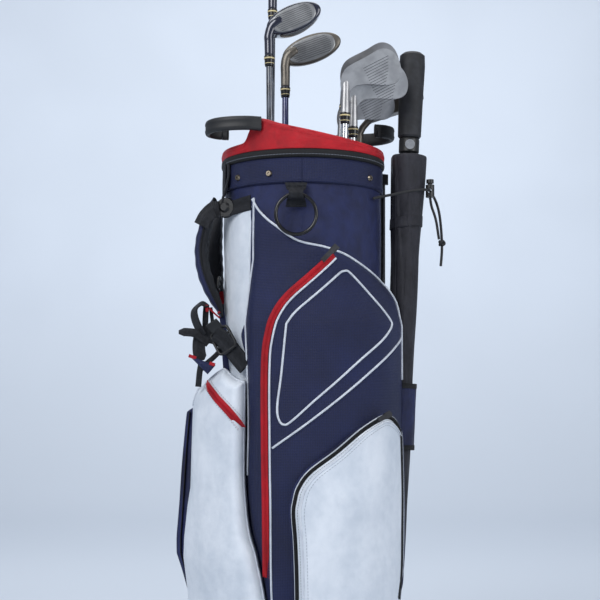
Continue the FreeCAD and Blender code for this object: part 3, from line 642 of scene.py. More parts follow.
def bars(name, line, long, gap, radius, material, across=False, lift=0.0, body="bag"):
    """Small round bars repeated along a line: stitches, or zip teeth laid across it."""
    path, out = line
    total = length_of(path)
    count = max(2, int(total / ((long if not across else 0) + gap) / MM))
    fine = resample(path, count)
    share = np.linspace(0, 1, len(path))
    normal = np.stack([np.interp(np.linspace(0, 1, count), share, out[:, k])
                       for k in range(3)], axis=1)
    t, n, side = frames(fine, normal)
    way = side if across else t
    half = np.array([-1, -0.8, 0.8, 1]) * long * MM / 2
    size = np.array([0.55, 1, 1, 0.55]) * radius * MM
    disc = ring(1.0, 6)
    other = t if across else side
    centre = fine[:, None] + way[:, None] * half[None, :, None] + n[:, None] * lift * MM
    grid = (centre[:, :, None] + n[:, None, None] * (disc[:, 0] * size[:, None])[None, ..., None]
            + other[:, None, None] * (disc[:, 1] * size[:, None])[None, ..., None])
    return joined(name, grid, material, body)


def zip_run(name, pouch, points, width, tape_material, teeth_material, lift=0.5):
    """A zip: its tape, two stitch rows and a coil of teeth."""
    tape(name + "_tape", pouch.line(points, 220, lift=lift), width, tape_material)
    bars(name + "_teeth", pouch.line(points, 300, lift=lift + 1.0), 3.4, 1.5, 0.55,
         teeth_material, across=True)
    for k, aside in enumerate((-0.4, 0.4)):
        line = pouch.line(points, 220, inset=aside * width, lift=lift + 0.7)
        bars(name + "_stitch_" + "ab"[k], line, 2.6, 1.1, 0.22, tape_material)


APPAREL_TOP = [(-71, 739), (-63, 724), (-51, 710), (-38, 699), (-7, 677), (32, 668),
               (62, 658), (88, 643), (111, 627), (128, 611), (142, 591)]
APPAREL_LEFT = [(-40, 88), (-60, 217), (-72, 261), (-77, 297), (-80, 342), (-79, 449),
                (-73, 640), (-71, 739)]
BALL_TOP = [(-16, 309), (-10, 330), (7, 353), (43, 380), (78, 409), (105, 426),
            (121, 430), (135, 423), (144, 409)]
BALL_LEFT = [(-13, 50), (-13, 175), (-15, 248), (-18, 291), (-16, 309)]
BALL_RIGHT = [(140, 50), (144, 162), (149, 209), (150, 283), (148, 389), (144, 409)]
SIDE_TOP = [(-163, 444), (-155, 467), (-147, 472), (-134, 485), (-122, 494), (-113, 497),
            (-104, 489), (-93, 481), (-81, 477)]
SIDE_RIGHT = [(-44, 50), (-46, 120), (-62, 217), (-74, 261), (-79, 297), (-82, 342),
              (-81, 449), (-81, 477)]


def apparel_pocket():
    """Tall navy pocket with a curved red zip, a kite of piping and a slanted seam."""
    heights = [0.048, 0.43, 0.56, 0.65, 0.745]
    pouch = Pouch([142, 148, 148, 122, 118.5], [126, 130, 130, 117, 108.5], {
        "left": APPAREL_LEFT,
        "top": APPAREL_TOP + [((82,), 560)],
        "right": [((80,), 88), ((82,), 300), ((82,), 480), ((82,), 560)],
        "bottom": [(-40, 88), (20, 80), (80, 80), ((80,), 88)],
    }, edge=15, swell=2.0, fold=0.9, fold_size=0.12, seed=3, heights=heights)
    cloth = pouch.panel("apparel_pocket_cloth", navy, 150, 120)
    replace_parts(cloth, "apparel_pocket")
    piping("apparel_top_piping", pouch.line(APPAREL_TOP + [((80,), 560), ((81,), 480)],
                                            260, inset=-2.5, lift=0.8))
    piping("apparel_left_piping", pouch.line(APPAREL_LEFT[4:], 160, inset=-1.0, lift=0.4))
    run = [(42, 655), (13, 627), (-20, 597), (-39, 571), (-50, 538), (-54, 500), (-54, 400),
           (-53, 300), (-52, 200)]
    zip_run("apparel_zip", pouch, run, 10.5, red_tape, red_tape, lift=0.9)
    edge = run + [(-50, 150), (-46, 100)]
    piping("apparel_zip_piping", pouch.line(edge, 300, inset=6.8, lift=0.7), 1.5)
    bars("apparel_zip_seam", pouch.line(run, 260, inset=9.5, lift=0.2), 2.8, 1.4, 0.25,
         navy_plain)
    kite = [(58, 632), (68, 628), (96, 599), (124, 567), (127, 558), (121, 547), (83, 509),
            (25, 457), (-15, 421), (-27, 415), (-34, 423), (-36, 441), (-31, 481),
            (-24, 548), (-21, 559), (-3, 580), (45, 623)]
    piping("apparel_kite_piping", pouch.line(kite, 420, lift=0.5, closed=True), 1.6)
    slant = [((80,), 545), (118, 512), (72, 470), (20, 428), (-8, 407), (-43, 382)]
    piping("apparel_slant_piping", pouch.line(slant, 260, lift=0.5), 1.6)
    bars("apparel_slant_seam", pouch.line(slant, 260, inset=4.0, lift=0.2), 2.8, 1.4, 0.25,
         navy_plain)
    return pouch


def ball_pocket():
    """White pocket with a black zip round its edge and a row of grey stitches."""
    pouch = Pouch(154, 158, {
        "left": BALL_LEFT,
        "top": BALL_TOP,
        "right": BALL_RIGHT,
        "bottom": [(-13, 50), (60, 48), (140, 50)],
    }, edge=20, swell=4.0, fold=1.4, fold_size=0.15, seed=5, base=(0.1445, 0.1265))
    cloth = pouch.panel("ball_pocket_cloth", white, 130, 110)
    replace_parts(cloth, "ball_pocket")
    edge = BALL_LEFT[:-1] + BALL_TOP + BALL_RIGHT[::-1][1:-1]
    zip_run("ball_zip", pouch, inset_of(edge, 6), 8.5, black_tape, black_tape)
    piping("ball_front_piping", pouch.line(edge, 400, inset=-12.0, lift=0.4), 1.3)
    bars("ball_stitch", pouch.line(edge, 400, inset=-16.5, lift=0.2), 3.0, 1.5, 0.32,
         thread_grey)
    gusset = pouch.line(edge, 400, inset=-0.5, lift=0.2)
    tape("ball_gusset_binding", gusset, 5.0, navy_plain, 0.8)
    return pouch


def inset_of(points, amount):
    """The same (x, z) line moved amount mm inside a left-to-right arch."""
    p = np.array([(q[0], q[1]) for q in points], float)
    t = unit(np.gradient(p, axis=0))
    return [tuple(q) for q in p + np.stack([t[:, 1], -t[:, 0]], axis=1) * amount]


def side_pocket():
    """White side pocket with a slanted red zip under its top corner."""
    pouch = Pouch([168, 172, 179, 178, 173, 168.5, 165, 162], 140, {
        "left": [((-86,), 50), ((-86,), 216), ((-86,), 300), ((-86,), 380), ((-84,), 444)],
        "top": [((-84,), 444)] + SIDE_TOP[1:],
        "right": SIDE_RIGHT,
        "bottom": [((-86,), 50), ((-50,), 48), (-44, 50)],
    }, edge=20, swell=3.0, fold=1.6, fold_size=0.13, seed=8, back=8,
        heights=[0.048, 0.159, 0.216, 0.244, 0.292, 0.321, 0.444, 0.52])
    cloth = pouch.panel("side_pocket_cloth", white, 120, 90)
    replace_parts(cloth, "side_pocket")
    piping("side_top_piping", pouch.line(SIDE_TOP, 160, inset=-2.5, lift=0.6))
    piping("side_right_piping", pouch.line(SIDE_RIGHT, 260, inset=2.5, lift=0.6))
    run = [(-138, 473), (-125, 458), (-112, 443), (-99, 428), (-86, 412)]
    zip_run("side_zip", pouch, run, 12.5, red_tape, red_tape, lift=1.8)
    for k, aside in enumerate((-7.5, 7.5)):
        bars("side_zip_seam_" + "ab"[k], pouch.line(run, 120, inset=aside, lift=0.2), 2.8,
             1.4, 0.3, thread_grey)
    return pouch


def rear_pocket():
    """Navy pocket behind the white one, fuller at its middle."""
    pouch = Pouch([176, 178, 189, 196, 196, 191, 186, 183, 178],
                  [118, 120, 124, 127, 127, 125, 122, 120, 118], {
        "left": [((-126,), 50), ((-126,), 444)],
        "top": [((-126,), 444), ((-110,), 450), ((-94,), 444)],
        "right": [((-94,), 50), ((-94,), 444)],
        "bottom": [((-126,), 50), ((-94,), 50)],
    }, edge=18, swell=1.0, fold=1.2, seed=11, around=True,
        heights=[0.048, 0.159, 0.197, 0.218, 0.243, 0.308, 0.375, 0.407, 0.45])
    cloth = pouch.panel("rear_pocket_cloth", navy_plain, 90, 50)
    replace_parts(cloth, "rear_pocket")
    zip_run("rear_zip", pouch, [((-98,), 432), ((-98,), 300), ((-98,), 120)], 8.0,
            black_tape, black_tape)


# ---- the bag's tube, collar and mouth -----------------------------------------------
def oval_grid(profile, count=220):
    """Closed ring from a closed profile of (outward from the tube, height) places."""
    a = np.linspace(0, 2 * np.pi, count, endpoint=False)[:, None]
    out, z = profile[None, :, 0], profile[None, :, 1]
    x = (BODY_RX + out) * np.sin(a)
    y = -(BODY_RY + out) * np.cos(a)
    return np.stack([x, y, z + 0 * a], axis=-1), a


def oval_ring(name, profile, material, body="bag"):
    grid, a = oval_grid(np.array(profile))
    run = np.linspace(0, 1, grid.shape[1])[None, :] * 0.08
    uv = np.stack([a * 0.112 + 0 * run, grid[..., 2] + 0 * a], axis=-1)
    return grid_piece(name, grid, material, body, uv, wrap_u=True, wrap_v=True)


def bag_tube():
    """Cloth tube with slack folds between the collar and the base, and its lining."""
    z = np.linspace(0.046, 0.7995, 150)
    a = np.linspace(0, 2 * np.pi, 260, endpoint=False)[:, None]
    slack = smooth(0.046, 0.09, z) * (1 - smooth(0.70, 0.752, z))
    mirror = np.minimum(a, 2 * np.pi - a)
    out = (waves(mirror * 1.0, z[None], 0.16, 21) * 0.9 + 0.2) * slack[None] * MM
    for side, back in ((out, 0.0), (None, -2.4 * MM)):
        lift = side if side is not None else np.full((len(a), len(z)), back)
        core = np.full_like(lift, -1.0 * MM) if side is not None else lift + 1.0 * MM
        x = np.concatenate([(BODY_RX + lift) * np.sin(a), ((BODY_RX + core) * np.sin(a))[:, ::-1]], 1)
        y = np.concatenate([-(BODY_RY + lift) * np.cos(a), (-(BODY_RY + core) * np.cos(a))[:, ::-1]], 1)
        zz = np.broadcast_to(np.concatenate([z, z[::-1]]), x.shape)
        uv = np.stack([a * 0.112 + 0 * x, zz], axis=-1)
        name = "bag_cloth" if side is not None else "bag_lining"
        piece = grid_piece(name, np.stack([x, y, zz], -1), navy_plain if side is not None
                           else lining, uv=uv, wrap_u=True, wrap_v=True)
        if side is not None:
            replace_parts(piece, "body_shell")


def spine_panel():
    """White panel down the strap side, with one soft fold."""
    rows = np.linspace(0, 1, 110)
    z = 0.452 + (0.7275 - 0.452) * rows
    right = np.interp(z, [0.449, 0.65, 0.728], [-0.0800, -0.0755, -0.0735])
    a_right = np.arcsin(right / BODY_RX)
    a_left = np.radians(np.interp(z, [0.45, 0.6, 0.73], [-118, -112, -108]))
    t = np.linspace(0, 1, 60)[:, None]
    a = a_left[None] * (1 - t) + a_right[None] * t
    out = (1.6 + 0.7 * waves(a, z[None], 0.10, 31)) * MM
    edge = np.minimum(t, 1 - t) * 8
    out = out * np.clip(edge + 0.25, 0, 1)
    grid = np.stack([(BODY_RX + out) * np.sin(a), -(BODY_RY + out) * np.cos(a),
                     z[None] + 0 * a], axis=-1)
    inner = np.stack([(BODY_RX - 0.6 * MM) * np.sin(a), -(BODY_RY - 0.6 * MM) * np.cos(a),
                      z[None] + 0 * a], axis=-1)
    both = np.concatenate([grid, inner[::-1]], axis=0)
    uv = np.stack([np.concatenate([a, a[::-1]]) * 0.112, both[..., 2]], axis=-1)
    grid_piece("spine_panel_white", both, white, uv=uv, wrap_u=True)


def tube_line(points, out, count=120):
    """Line on the tube through (x, z) places in mm, on the front or (turn,), lifted by out."""
    places = []
    for x, z in points:
        a = math.radians(x[0]) if isinstance(x, tuple) else math.asin(x * MM / BODY_RX)
        places.append((a, z * MM))
    p = curve_through(places, count)
    a, z = p[:, 0], p[:, 1]
    line = np.stack([(BODY_RX + out * MM) * np.sin(a), -(BODY_RY + out * MM) * np.cos(a), z],
                    axis=-1)
    return line, unit(np.stack([np.sin(a) / BODY_RX, -np.cos(a) / BODY_RY, 0 * a], -1))


def collar():
    """Navy collar under the cuff, its hem folded and stitched, and the black trim ring."""
    low, high = COLLAR[0][2], COLLAR[1][2]
    full = (COLLAR[1][0] - BODY_RX)
    hem = [(0.0004, low), (full * 0.8, low), (full + 0.0006, low + 0.0015),
           (full + 0.0006, low + 0.005), (full, low + 0.0068), (full - 0.0003, low + 0.012),
           (full - 0.0002, high - 0.004), (full - 0.001, high), (0.0004, high)]
    piece = oval_ring("collar_cloth", hem, navy)
    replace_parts(piece, "collar_band")
    low, high = TRIM[0][2], TRIM[1][2]
    full = (TRIM[1][0] - BODY_RX)
    mid = (low + high) / 2
    bar = [(0.0004, low), (full - 0.0012, low), (full + 0.0003, low + 0.002),
           (full + 0.0009, mid), (full + 0.0003, high - 0.002), (full - 0.0012, high),
           (0.0004, high)]
    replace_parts(oval_ring("collar_binding", bar, black_tape), "collar_trim")
    ring_line = [(((d,)), 797) for d in range(-180, 181, 12)]
    bars("collar_binding_stitch", tube_line(ring_line, full / MM + 0.6, 800), 3.0, 1.6, 0.3,
         thread_grey)
    seam = [(((d,)), 762) for d in range(-180, 181, 12)]
    bars("collar_hem_stitch", tube_line(seam, 3.9, 800), 2.8, 1.5, 0.25, navy_plain)


def cuff():
    """Soft red cuff: its top edge rises to a peak at each lift handle, padded over."""
    rim, front_peak, rear_peak = 0.819, 0.851, 0.871
    shape = [(-130, 0), (-92, 0.0), (-82, 0.1), (-76, 0.5), (-69, 0.93), (-62, 1.0),
             (-52, 0.94), (-30, 0.69), (4, 0.44), (45, 0.2), (90, 0.02), (130, 0)]
    line = curve_through(shape, 400)
    a = np.linspace(0, 2 * np.pi, 360, endpoint=False)
    x, y = CUFF_MID_X * np.sin(a) / MM, -np.cos(a)
    front = np.interp(x, line[:, 0], line[:, 1]) * (front_peak - rim)
    rear = np.interp(-x, line[:, 0], line[:, 1]) * (rear_peak - rim)
    share = smooth(-0.05, 0.05, y)
    top = (rim + front * (1 - share) + rear * share)[:, None]
    low = TRIM[1][2]
    inner = (CUFF_INNER - BODY_RX)
    outer = (CUFF[1][0] - BODY_RX)
    v = np.linspace(0, 1, 26)
    bulge = 0.0009 * np.sin(np.pi * v)
    wall_out = np.stack([outer - 0.0012 + bulge, v], 1)
    arc = np.linspace(0, np.pi, 10)
    mid, half = (outer + inner) / 2, (outer - inner) / 2 - 0.0012
    folds = waves(np.minimum(a, 2 * np.pi - a)[:, None], v[None] * 0.05, 0.03, 41) * 0.00035
    height = top - half - low
    up = np.stack([wall_out[None, :, 0] + folds, low + height * v[None]], -1)
    cap = np.stack([np.broadcast_to(mid + half * np.cos(arc), (len(a), 10)),
                    (top - half) + half * np.sin(arc)[None]], -1)
    down = np.stack([np.broadcast_to(inner + 0.0012 - bulge[::-1] * 0.5, (len(a), 26)),
                     low + height * v[None, ::-1]], -1)
    profile = np.concatenate([up, cap, down], axis=1)
    out, z = profile[..., 0], profile[..., 1]
    grid = np.stack([(BODY_RX + out) * np.sin(a)[:, None],
                     -(BODY_RY + out) * np.cos(a)[:, None], z], -1)
    uv = np.stack([a[:, None] * 0.118 + 0 * z, z], axis=-1)
    piece = grid_piece("cuff_wrap", grid, red, uv=uv, wrap_u=True, wrap_v=True)
    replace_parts(piece, "top_cuff")
    edge = np.stack([(BODY_RX + outer - 0.0008) * np.sin(a),
                     -(BODY_RY + outer - 0.0008) * np.cos(a), top[:, 0] - 0.0075], -1)
    out = unit(np.stack([np.sin(a), -np.cos(a), 0 * a], -1))
    bars("cuff_edge_stitch", (edge, out), 2.6, 1.6, 0.28, red_tape, lift=0.6)


CUFF_MID_X = (CUFF[1][0] + BODY_RX - 0.0025) / 2
CUFF_INNER = BODY_RX - 0.0025


def lift_handles():
    """Moulded grab handles: a wide flattened loop with a groove along its outside."""
    route = np.array([(-60, -99), (-80, -104), (-104, -101), (-124, -91), (-136, -74),
                      (-137, -56), (-126, -42), (-110, -36)]) * MM
    for name, turn in (("front_lift_handle", 1), ("rear_lift_handle", -1)):
        low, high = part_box(name)[0][2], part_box(name)[1][2]
        line = curve_through(route, 110) * turn
        path = np.column_stack([line, np.full(110, (low + high) / 2)])
        hint = unit(np.column_stack([line, np.zeros(110)]))
        half = (high - low) / 2
        section = rounded_bar(0.0042, half, 3.0, 44)
        groove = np.abs(section[:, 1]) < half * 0.34
        section[:, 0] -= np.where(groove & (section[:, 0] > 0), 0.0007, 0)
        loop = swept_piece(name + "_loop", path, hint, section, handle_plastic)
        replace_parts(loop, name)


# ---- shoulder strap -------------------------------------------------------------------
def flat_strap(name, points, half_width, material, thick=1.2, tip=1.0, count=120,
               roll=0.0, face=None):
    """Webbing: a soft-cornered flat bar along a smooth curve of (x, y, z) points in mm.

    Its flat side faces away from the bag, or along face; roll turns it, in degrees over
    its length.
    """
    path = curve_through(np.array(points, float) * MM, count)
    away = np.column_stack([path[:, 0] + 0.02, path[:, 1] * 0.35, 0 * path[:, 0]])
    hint = unit(away if face is None else np.broadcast_to(face, path.shape))
    _, n, side = frames(path, hint)
    turn = np.radians(roll) * np.linspace(0, 1, count)[:, None]
    hint = n * np.cos(turn) + side * np.sin(turn)
    section = rounded_bar(thick * MM, half_width * MM, 6.0, 20)
    taper = np.interp(np.linspace(0, 1, count), [0, 0.85, 1], [1, 1, tip])
    sections = section[None] * np.stack([np.ones(count), taper], 1)[:, None]
    return swept_piece(name, path, hint, sections, material)


PAD_FRONT = ([(-131, 750), (-143, 734), (-152, 708), (-158, 680), (-158, 655), (-154, 632),
              (-146, 610), (-135, 589), (-120, 568)],
             [(-128, 742), (-131, 720), (-136, 694), (-140, 670), (-138, 648), (-130, 624),
              (-122, 604), (-118, 590), (-117, 576)])
PAD_REAR = ([(-128, 744), (-138, 728), (-144, 706), (-147, 680), (-147, 652), (-143, 626),
             (-136, 602), (-127, 584), (-121, 572)],
            [(-119, 738), (-121, 720), (-122, 700), (-123, 680), (-122, 656), (-121, 630),
             (-119, 604), (-118, 590), (-118, 580)])


def strap_pad(name, sides, y0, y1, covered):
    """Crowned pad between two edge lines: a rounded bar that narrows at both ends."""
    outer, inner = (curve_through(np.array(side) * MM, 100) for side in sides)
    middle = (outer + inner) / 2
    half = np.linalg.norm(outer - inner, axis=1) / 2
    away = unit(outer - inner)
    hint = np.column_stack([away[:, 0], 0 * half, away[:, 1]])
    share = np.linspace(0, 1, 100)
    ends = np.sin(np.pi * np.clip(share, 0.03, 0.97)) ** 0.22
    channel = 1 + 0.035 * np.sin(share * 60)
    size = np.stack([half * ends * channel, (y1 - y0) / 2 * MM * ends], 1)[:, None]
    path = np.column_stack([middle[:, 0], np.full(100, (y0 + y1) / 2 * MM), middle[:, 1]])
    bar = rounded_bar(1.0, 1.0, 3.2, 28)
    pad = swept_piece(name, path, hint, bar[None] * size, lining)
    if not covered:
        return pad
    turn = np.linspace(-0.5 * np.pi, 0.5 * np.pi, 22)
    cover = np.stack([np.cos(turn) ** 0.62, np.sign(np.sin(turn))
                      * np.abs(np.sin(turn)) ** 0.62], 1)
    shell = np.concatenate([cover * 1.05, cover[::-1] * 0.96])
    swept_piece(name + "_cover", path, hint, shell[None] * size, navy)
    for edge, at in (("near", 0), ("far", 21)):
        line = sweep(path, hint, cover[None, at:at + 1] * 1.06 * size)[:, 0]
        piping(name + "_binding_" + edge, (line, hint), 1.1, black_tape)
    hem = sweep(path, hint, cover[None] * 1.09 * size)[95]
    piping(name + "_hem", (hem, unit(hem - path[95])), 1.5, red_tape)
    return pad


def strap():
    """Two curved pads and all the webbing that hangs between them and the bag."""
    pad = strap_pad("strap_pad_front", PAD_FRONT, -56, -6, True)
    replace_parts(pad, "shoulder_strap_pads")
    strap_pad("strap_pad_rear", PAD_REAR, 6, 56, False)
    front = (-0.35, -0.94, 0.0)
    tie = flat_strap("strap_tie", [(-112, -56, 729), (-102, -60, 729), (-90, -69, 731),
                                   (-75, -82, 733)], 11, webbing, thick=1.4)
    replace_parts(tie, "strap_webbing")
    flat_strap("strap_pad_tab", [(-122, -56, 727), (-131, -58, 726), (-141, -60, 716),
                                 (-148, -60, 703)], 12, webbing, thick=1.5, face=front)
    flat_strap("strap_yoke", [(-119, -51, 734), (-116, -51, 748), (-112, -49, 762),
                              (-109, -47, 778), (-109, -47, 794)], 7, webbing, thick=1.6)
    flat_strap("strap_loop", [(-140, -50, 590), (-151, -54, 588), (-158, -58, 580),
                              (-157, -60, 568), (-151, -60, 553), (-146, -60, 543)], 11,
               webbing, thick=1.3, face=(-0.9, -0.45, 0.2))
    flat_strap("strap_loop_inner", [(-141, -52, 588), (-142, -54, 572), (-142, -57, 556),
                                    (-140, -58, 543)], 4.5, webbing, thick=1.2, face=front)
    flat_strap("strap_loop_outer", [(-135, -48, 585), (-133, -50, 570), (-131, -54, 556),
                                    (-128, -58, 545)], 2.6, webbing, thick=1.2, face=front)
    flat_strap("strap_free_end", [(-136, -62, 532), (-144, -63, 539), (-155, -64, 546),
                                  (-167, -65, 548), (-180, -66, 548)], 7, webbing,
               thick=1.5, face=(-0.2, -0.8, 0.55), tip=0.4)
    flat_strap("strap_to_buckle", [(-151, -57, 542), (-143, -59, 544), (-133, -62, 544),
                                   (-121, -66, 540), (-112, -70, 533)], 12.5, webbing,
               thick=2.0, face=front)
    flat_strap("strap_over_buckle", [(-128, -69, 546), (-119, -73, 541), (-110, -76, 531),
                                     (-103, -78, 521)], 12, webbing, thick=1.6, face=front)
    flat_strap("strap_anchor", [(-111, -68, 532), (-103, -74, 523), (-93, -81, 510),
                                (-82, -89, 497)], 12.5, webbing, thick=1.8, face=front)
    flat_strap("strap_drop", [(-149, -58, 545), (-151, -60, 534), (-151, -61, 521),
                              (-148, -60, 507)], 10, webbing, thick=1.3, tip=0.5,
               face=front)
    flat_strap("strap_bridge", [(-117, -66, 524), (-129, -64, 512), (-141, -62, 502),
                                (-149, -61, 493)], 3.6, webbing, thick=1.4, face=front)
    flat_strap("strap_tail", [(-148, -62, 502), (-150, -62, 490), (-151, -62, 480),
                              (-152, -62, 469)], 4.5, webbing, thick=1.2, face=front)
    flat_strap("strap_lower_run", [(-120, -36, 580), (-117, -40, 560), (-115, -42, 530),
                                   (-113, -46, 502), (-111, -49, 486)], 4.5, navy_plain,
               thick=1.2, face=front)
    for name, points, width in (
        ("strap_red_tab", [(-122, -8, 612), (-121, -8, 604), (-119, -8, 594)], 3.0),
        ("strap_red_loop", [(-140, -58, 588), (-140, -58, 583), (-139, -58, 578)], 2.2),
        ("strap_red_hem", [(-137, -57, 584), (-129, -57, 576), (-121, -56, 569)], 1.2),
    ):
        flat_strap(name, points, width, red_tape, thick=0.7, face=front, count=24)
    buckles()
    gusset_flag()


def buckles():
    """Ladder buckle with two bars, a slide buckle with one bar, and the tube's side band."""
    def frame_ring(name, centre, across, up, size, bar_r, material):
        corner = rounded_bar(size[0] * MM, size[1] * MM, 7.0, 64)
        path = centre + corner[:, :1] * across + corner[:, 1:] * up
        out = unit(np.cross(across, up))
        grid = sweep(path, out, ring(bar_r * MM, 10))
        return grid_piece(name, grid, material, wrap_u=True, wrap_v=True)

    centre = np.array([-0.115, -0.0725, 0.536])
    out = unit(np.array([-0.38, -0.92, 0.05]))
    up = unit(np.array([0.45, -0.25, -0.85]))
    up = unit(up - (up * out).sum() * out)
    across = np.cross(out, up)
    main = frame_ring("ladder_buckle", centre, across, up, (15, 17), 2.1, black_plastic)
    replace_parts(main, "strap_buckles")
    for k, at in enumerate((-0.006, 0.006)):
        ends = np.linspace(-0.0145, 0.0145, 12)[:, None]
        line = centre + up * at + across * ends
        piping("ladder_buckle_bar_" + "ab"[k], (line, np.broadcast_to(out, line.shape)), 1.9,
               black_plastic)
    lift = np.linspace(0, 1, 14)[:, None]
    tab_line = centre + up * (-0.017 - 0.012 * lift) + out * (0.002 + 0.009 * lift ** 1.5)
    tape("ladder_buckle_lever", (tab_line, np.broadcast_to(out, tab_line.shape)), 20,
         black_plastic, thick=1.6)
    slide = np.array([-0.1245, -0.028, 0.622])
    frame_ring("slide_buckle", slide, np.array([0, 1.0, 0]), np.array([0.15, 0, 0.99]),
               (14, 8), 2.4, black_plastic)
    line = slide + np.linspace(-0.013, 0.013, 10)[:, None] * np.array([0, 1.0, 0])
    piping("slide_buckle_bar", (line, np.broadcast_to((1.0, 0, 0), line.shape)), 2.0,
           black_plastic)
    band, normal = tube_line([((-74,), 752), ((-74,), 766), ((-73,), 782), ((-72,), 800)],
                             5.0, 50)
    tape("strap_side_band", (band, normal), 15, webbing, thick=1.4)


def gusset_flag():
    """Small navy triangle at the side pocket's top, bound in red along its left edge."""
    points = np.array([(-0.1650, -0.064, 0.5140), (-0.1265, -0.076, 0.5000),
                       (-0.1380, -0.074, 0.4870)])
    u = np.linspace(0, 1, 24)[:, None, None]
    v = np.linspace(0, 1, 24)[None, :, None]
    sheet = points[0] * (1 - u) + (points[1] * (1 - v) + points[2] * v) * u
    out = np.array([-0.3, -0.95, 0.1])
    front = sheet + out * 0.004 * np.sin(np.pi * u ** 1.3) * np.sin(np.pi * v)
    both = np.concatenate([front, (front - out * 0.0018)[::-1]], axis=0)
    uv = np.concatenate([sheet[..., ::2], sheet[::-1, :, ::2]], axis=0)
    grid_piece("gusset_flag", both, navy, uv=uv, wrap_u=True)
    for k, (a, b) in enumerate(((points[0], points[0] * 0.72 + points[1] * 0.28),
                                (points[1] * 0.8 + points[0] * 0.2, points[1]))):
        line = a + (b - a) * np.linspace(0, 1, 30)[:, None] + out * 0.0012
        tape("gusset_binding_" + "ab"[k], (line, np.broadcast_to(out, line.shape)), 5.0,
             red_tape)


# ---- towel ring, umbrella and cord ------------------------------------------------------
def towel_hanger():
    """Webbing tab folded over the ring, wide where it is sewn and narrower below."""
    low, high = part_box("towel_tab")
    x = (low[0] + high[0]) / 2
    path = np.array([(-0.1105, 0.756), (-0.1145, 0.748), (-0.1195, 0.745), (-0.1265, 0.744),
                     (-0.1300, 0.7385), (-0.1265, 0.7325), (-0.1195, 0.7315),
                     (-0.1145, 0.729), (-0.1105, 0.722)])
    line = curve_through(path, 80)
    line = np.column_stack([np.full(80, x), line])
    middle = np.array([x, -0.119, 0.7385])
    hint = unit(line - middle)
    across = np.interp(np.linspace(0, 1, 80), [0, 0.3, 0.5, 0.7, 1], [16, 12, 10, 12, 15])
    bar = rounded_bar(1.0, 1.0, 6.0, 18)
    size = np.stack([np.full(80, 0.9 * MM), across * MM], 1)
    tab = swept_piece("towel_tab_web", line, hint, bar[None] * size[:, None], webbing)
    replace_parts(tab, "towel_tab")


UMBRELLA_TIP = np.array([0.1305, 0.008, 0.062])
UMBRELLA_TOP = np.array([0.165, 0.008, 0.972])
UMBRELLA_AXIS = unit(UMBRELLA_TOP - UMBRELLA_TIP)


def about_umbrella(along, radius, angle):
    """Points round the umbrella's shaft: along it, out from it, and turned from -Y."""
    right = unit(np.cross(np.array([0, 1.0, 0]), UMBRELLA_AXIS))
    front = np.cross(UMBRELLA_AXIS, right)
    front = front * np.sign(-front[1])
    a, r, s = angle[..., None], radius[..., None], along[..., None]
    return UMBRELLA_TIP + UMBRELLA_AXIS * s + r * (front * np.cos(a) + right * np.sin(a))


def umbrella():
    """Furled canopy: eight pleats lapped round the shaft, held by a tie band."""
    s = np.concatenate([np.linspace(0.026, 0.7515, 230), np.linspace(0.752, 0.757, 12)])[:, None]
    a = np.linspace(0, 2 * np.pi, 128, endpoint=False)[None]
    stations = np.array([(0.026, 8), (0.06, 12), (0.15, 17), (0.30, 19.6), (0.47, 19.8),
                         (0.62, 22.8), (0.69, 25.2), (0.752, 27.2), (0.7548, 26.6),
                         (0.7562, 24), (0.757, 13)])
    r = np.interp(s, stations[:, 0], stations[:, 1]) * MM
    twist = 5.5 * s
    pleat = ((a * 8 / (2 * np.pi) + twist) % 1.0)
    step = smooth(0, 0.82, pleat) * (1 - smooth(0.82, 1.0, pleat))
    loose = 0.5 + 0.5 * smooth(0.1, 0.6, s)
    folds = waves(a * 0.3, s, 0.11, 51) * 0.4
    lap = ((a / (2 * np.pi) + 0.9 * s) % 1.0)
    over = smooth(0, 0.9, lap) * (1 - smooth(0.95, 1.0, lap))
    r = r - 2.2 * MM * loose + (step * 1.5 * loose + over * 0.9 + folds * loose) * MM
    grid = about_umbrella(s + 0 * a, r, a + 0 * s)
    uv = np.stack([a * 0.02 + 0 * s, s + 0 * a], -1)
    canopy = grid_piece("umbrella_canopy_cloth", grid, umbrella_cloth, "umbrella", uv,
                        wrap_v=True, ends=True)
    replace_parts(canopy, "umbrella_canopy")
    a1 = np.linspace(0, 2 * np.pi, 96)
    band = about_umbrella(0.655 + 0.003 * np.sin(a1), np.full(96, 24.2 * MM), a1)
    hint = unit(about_umbrella(np.full(96, 0.655), np.full(96, 0.03), a1)
                - about_umbrella(np.full(96, 0.655), np.full(96, 0.02), a1))
    swept_piece("umbrella_tie_band", band, hint, rounded_bar(0.0005, 0.008, 6, 16),
                umbrella_cloth, "umbrella")
    ends = np.linspace(0, 1, 60)
    seam = about_umbrella(0.06 + 0.66 * ends, np.interp(0.06 + 0.66 * ends, stations[:, 0],
                          stations[:, 1]) * MM + 0.0006, -0.9 + 0.3 * np.sin(ends * 3))
    hint = unit(seam - (UMBRELLA_TIP + UMBRELLA_AXIS * (0.06 + 0.66 * ends)[:, None]))
    tape("umbrella_flap_seam", (seam, hint), 2.2, umbrella_cloth, 0.5, "umbrella")


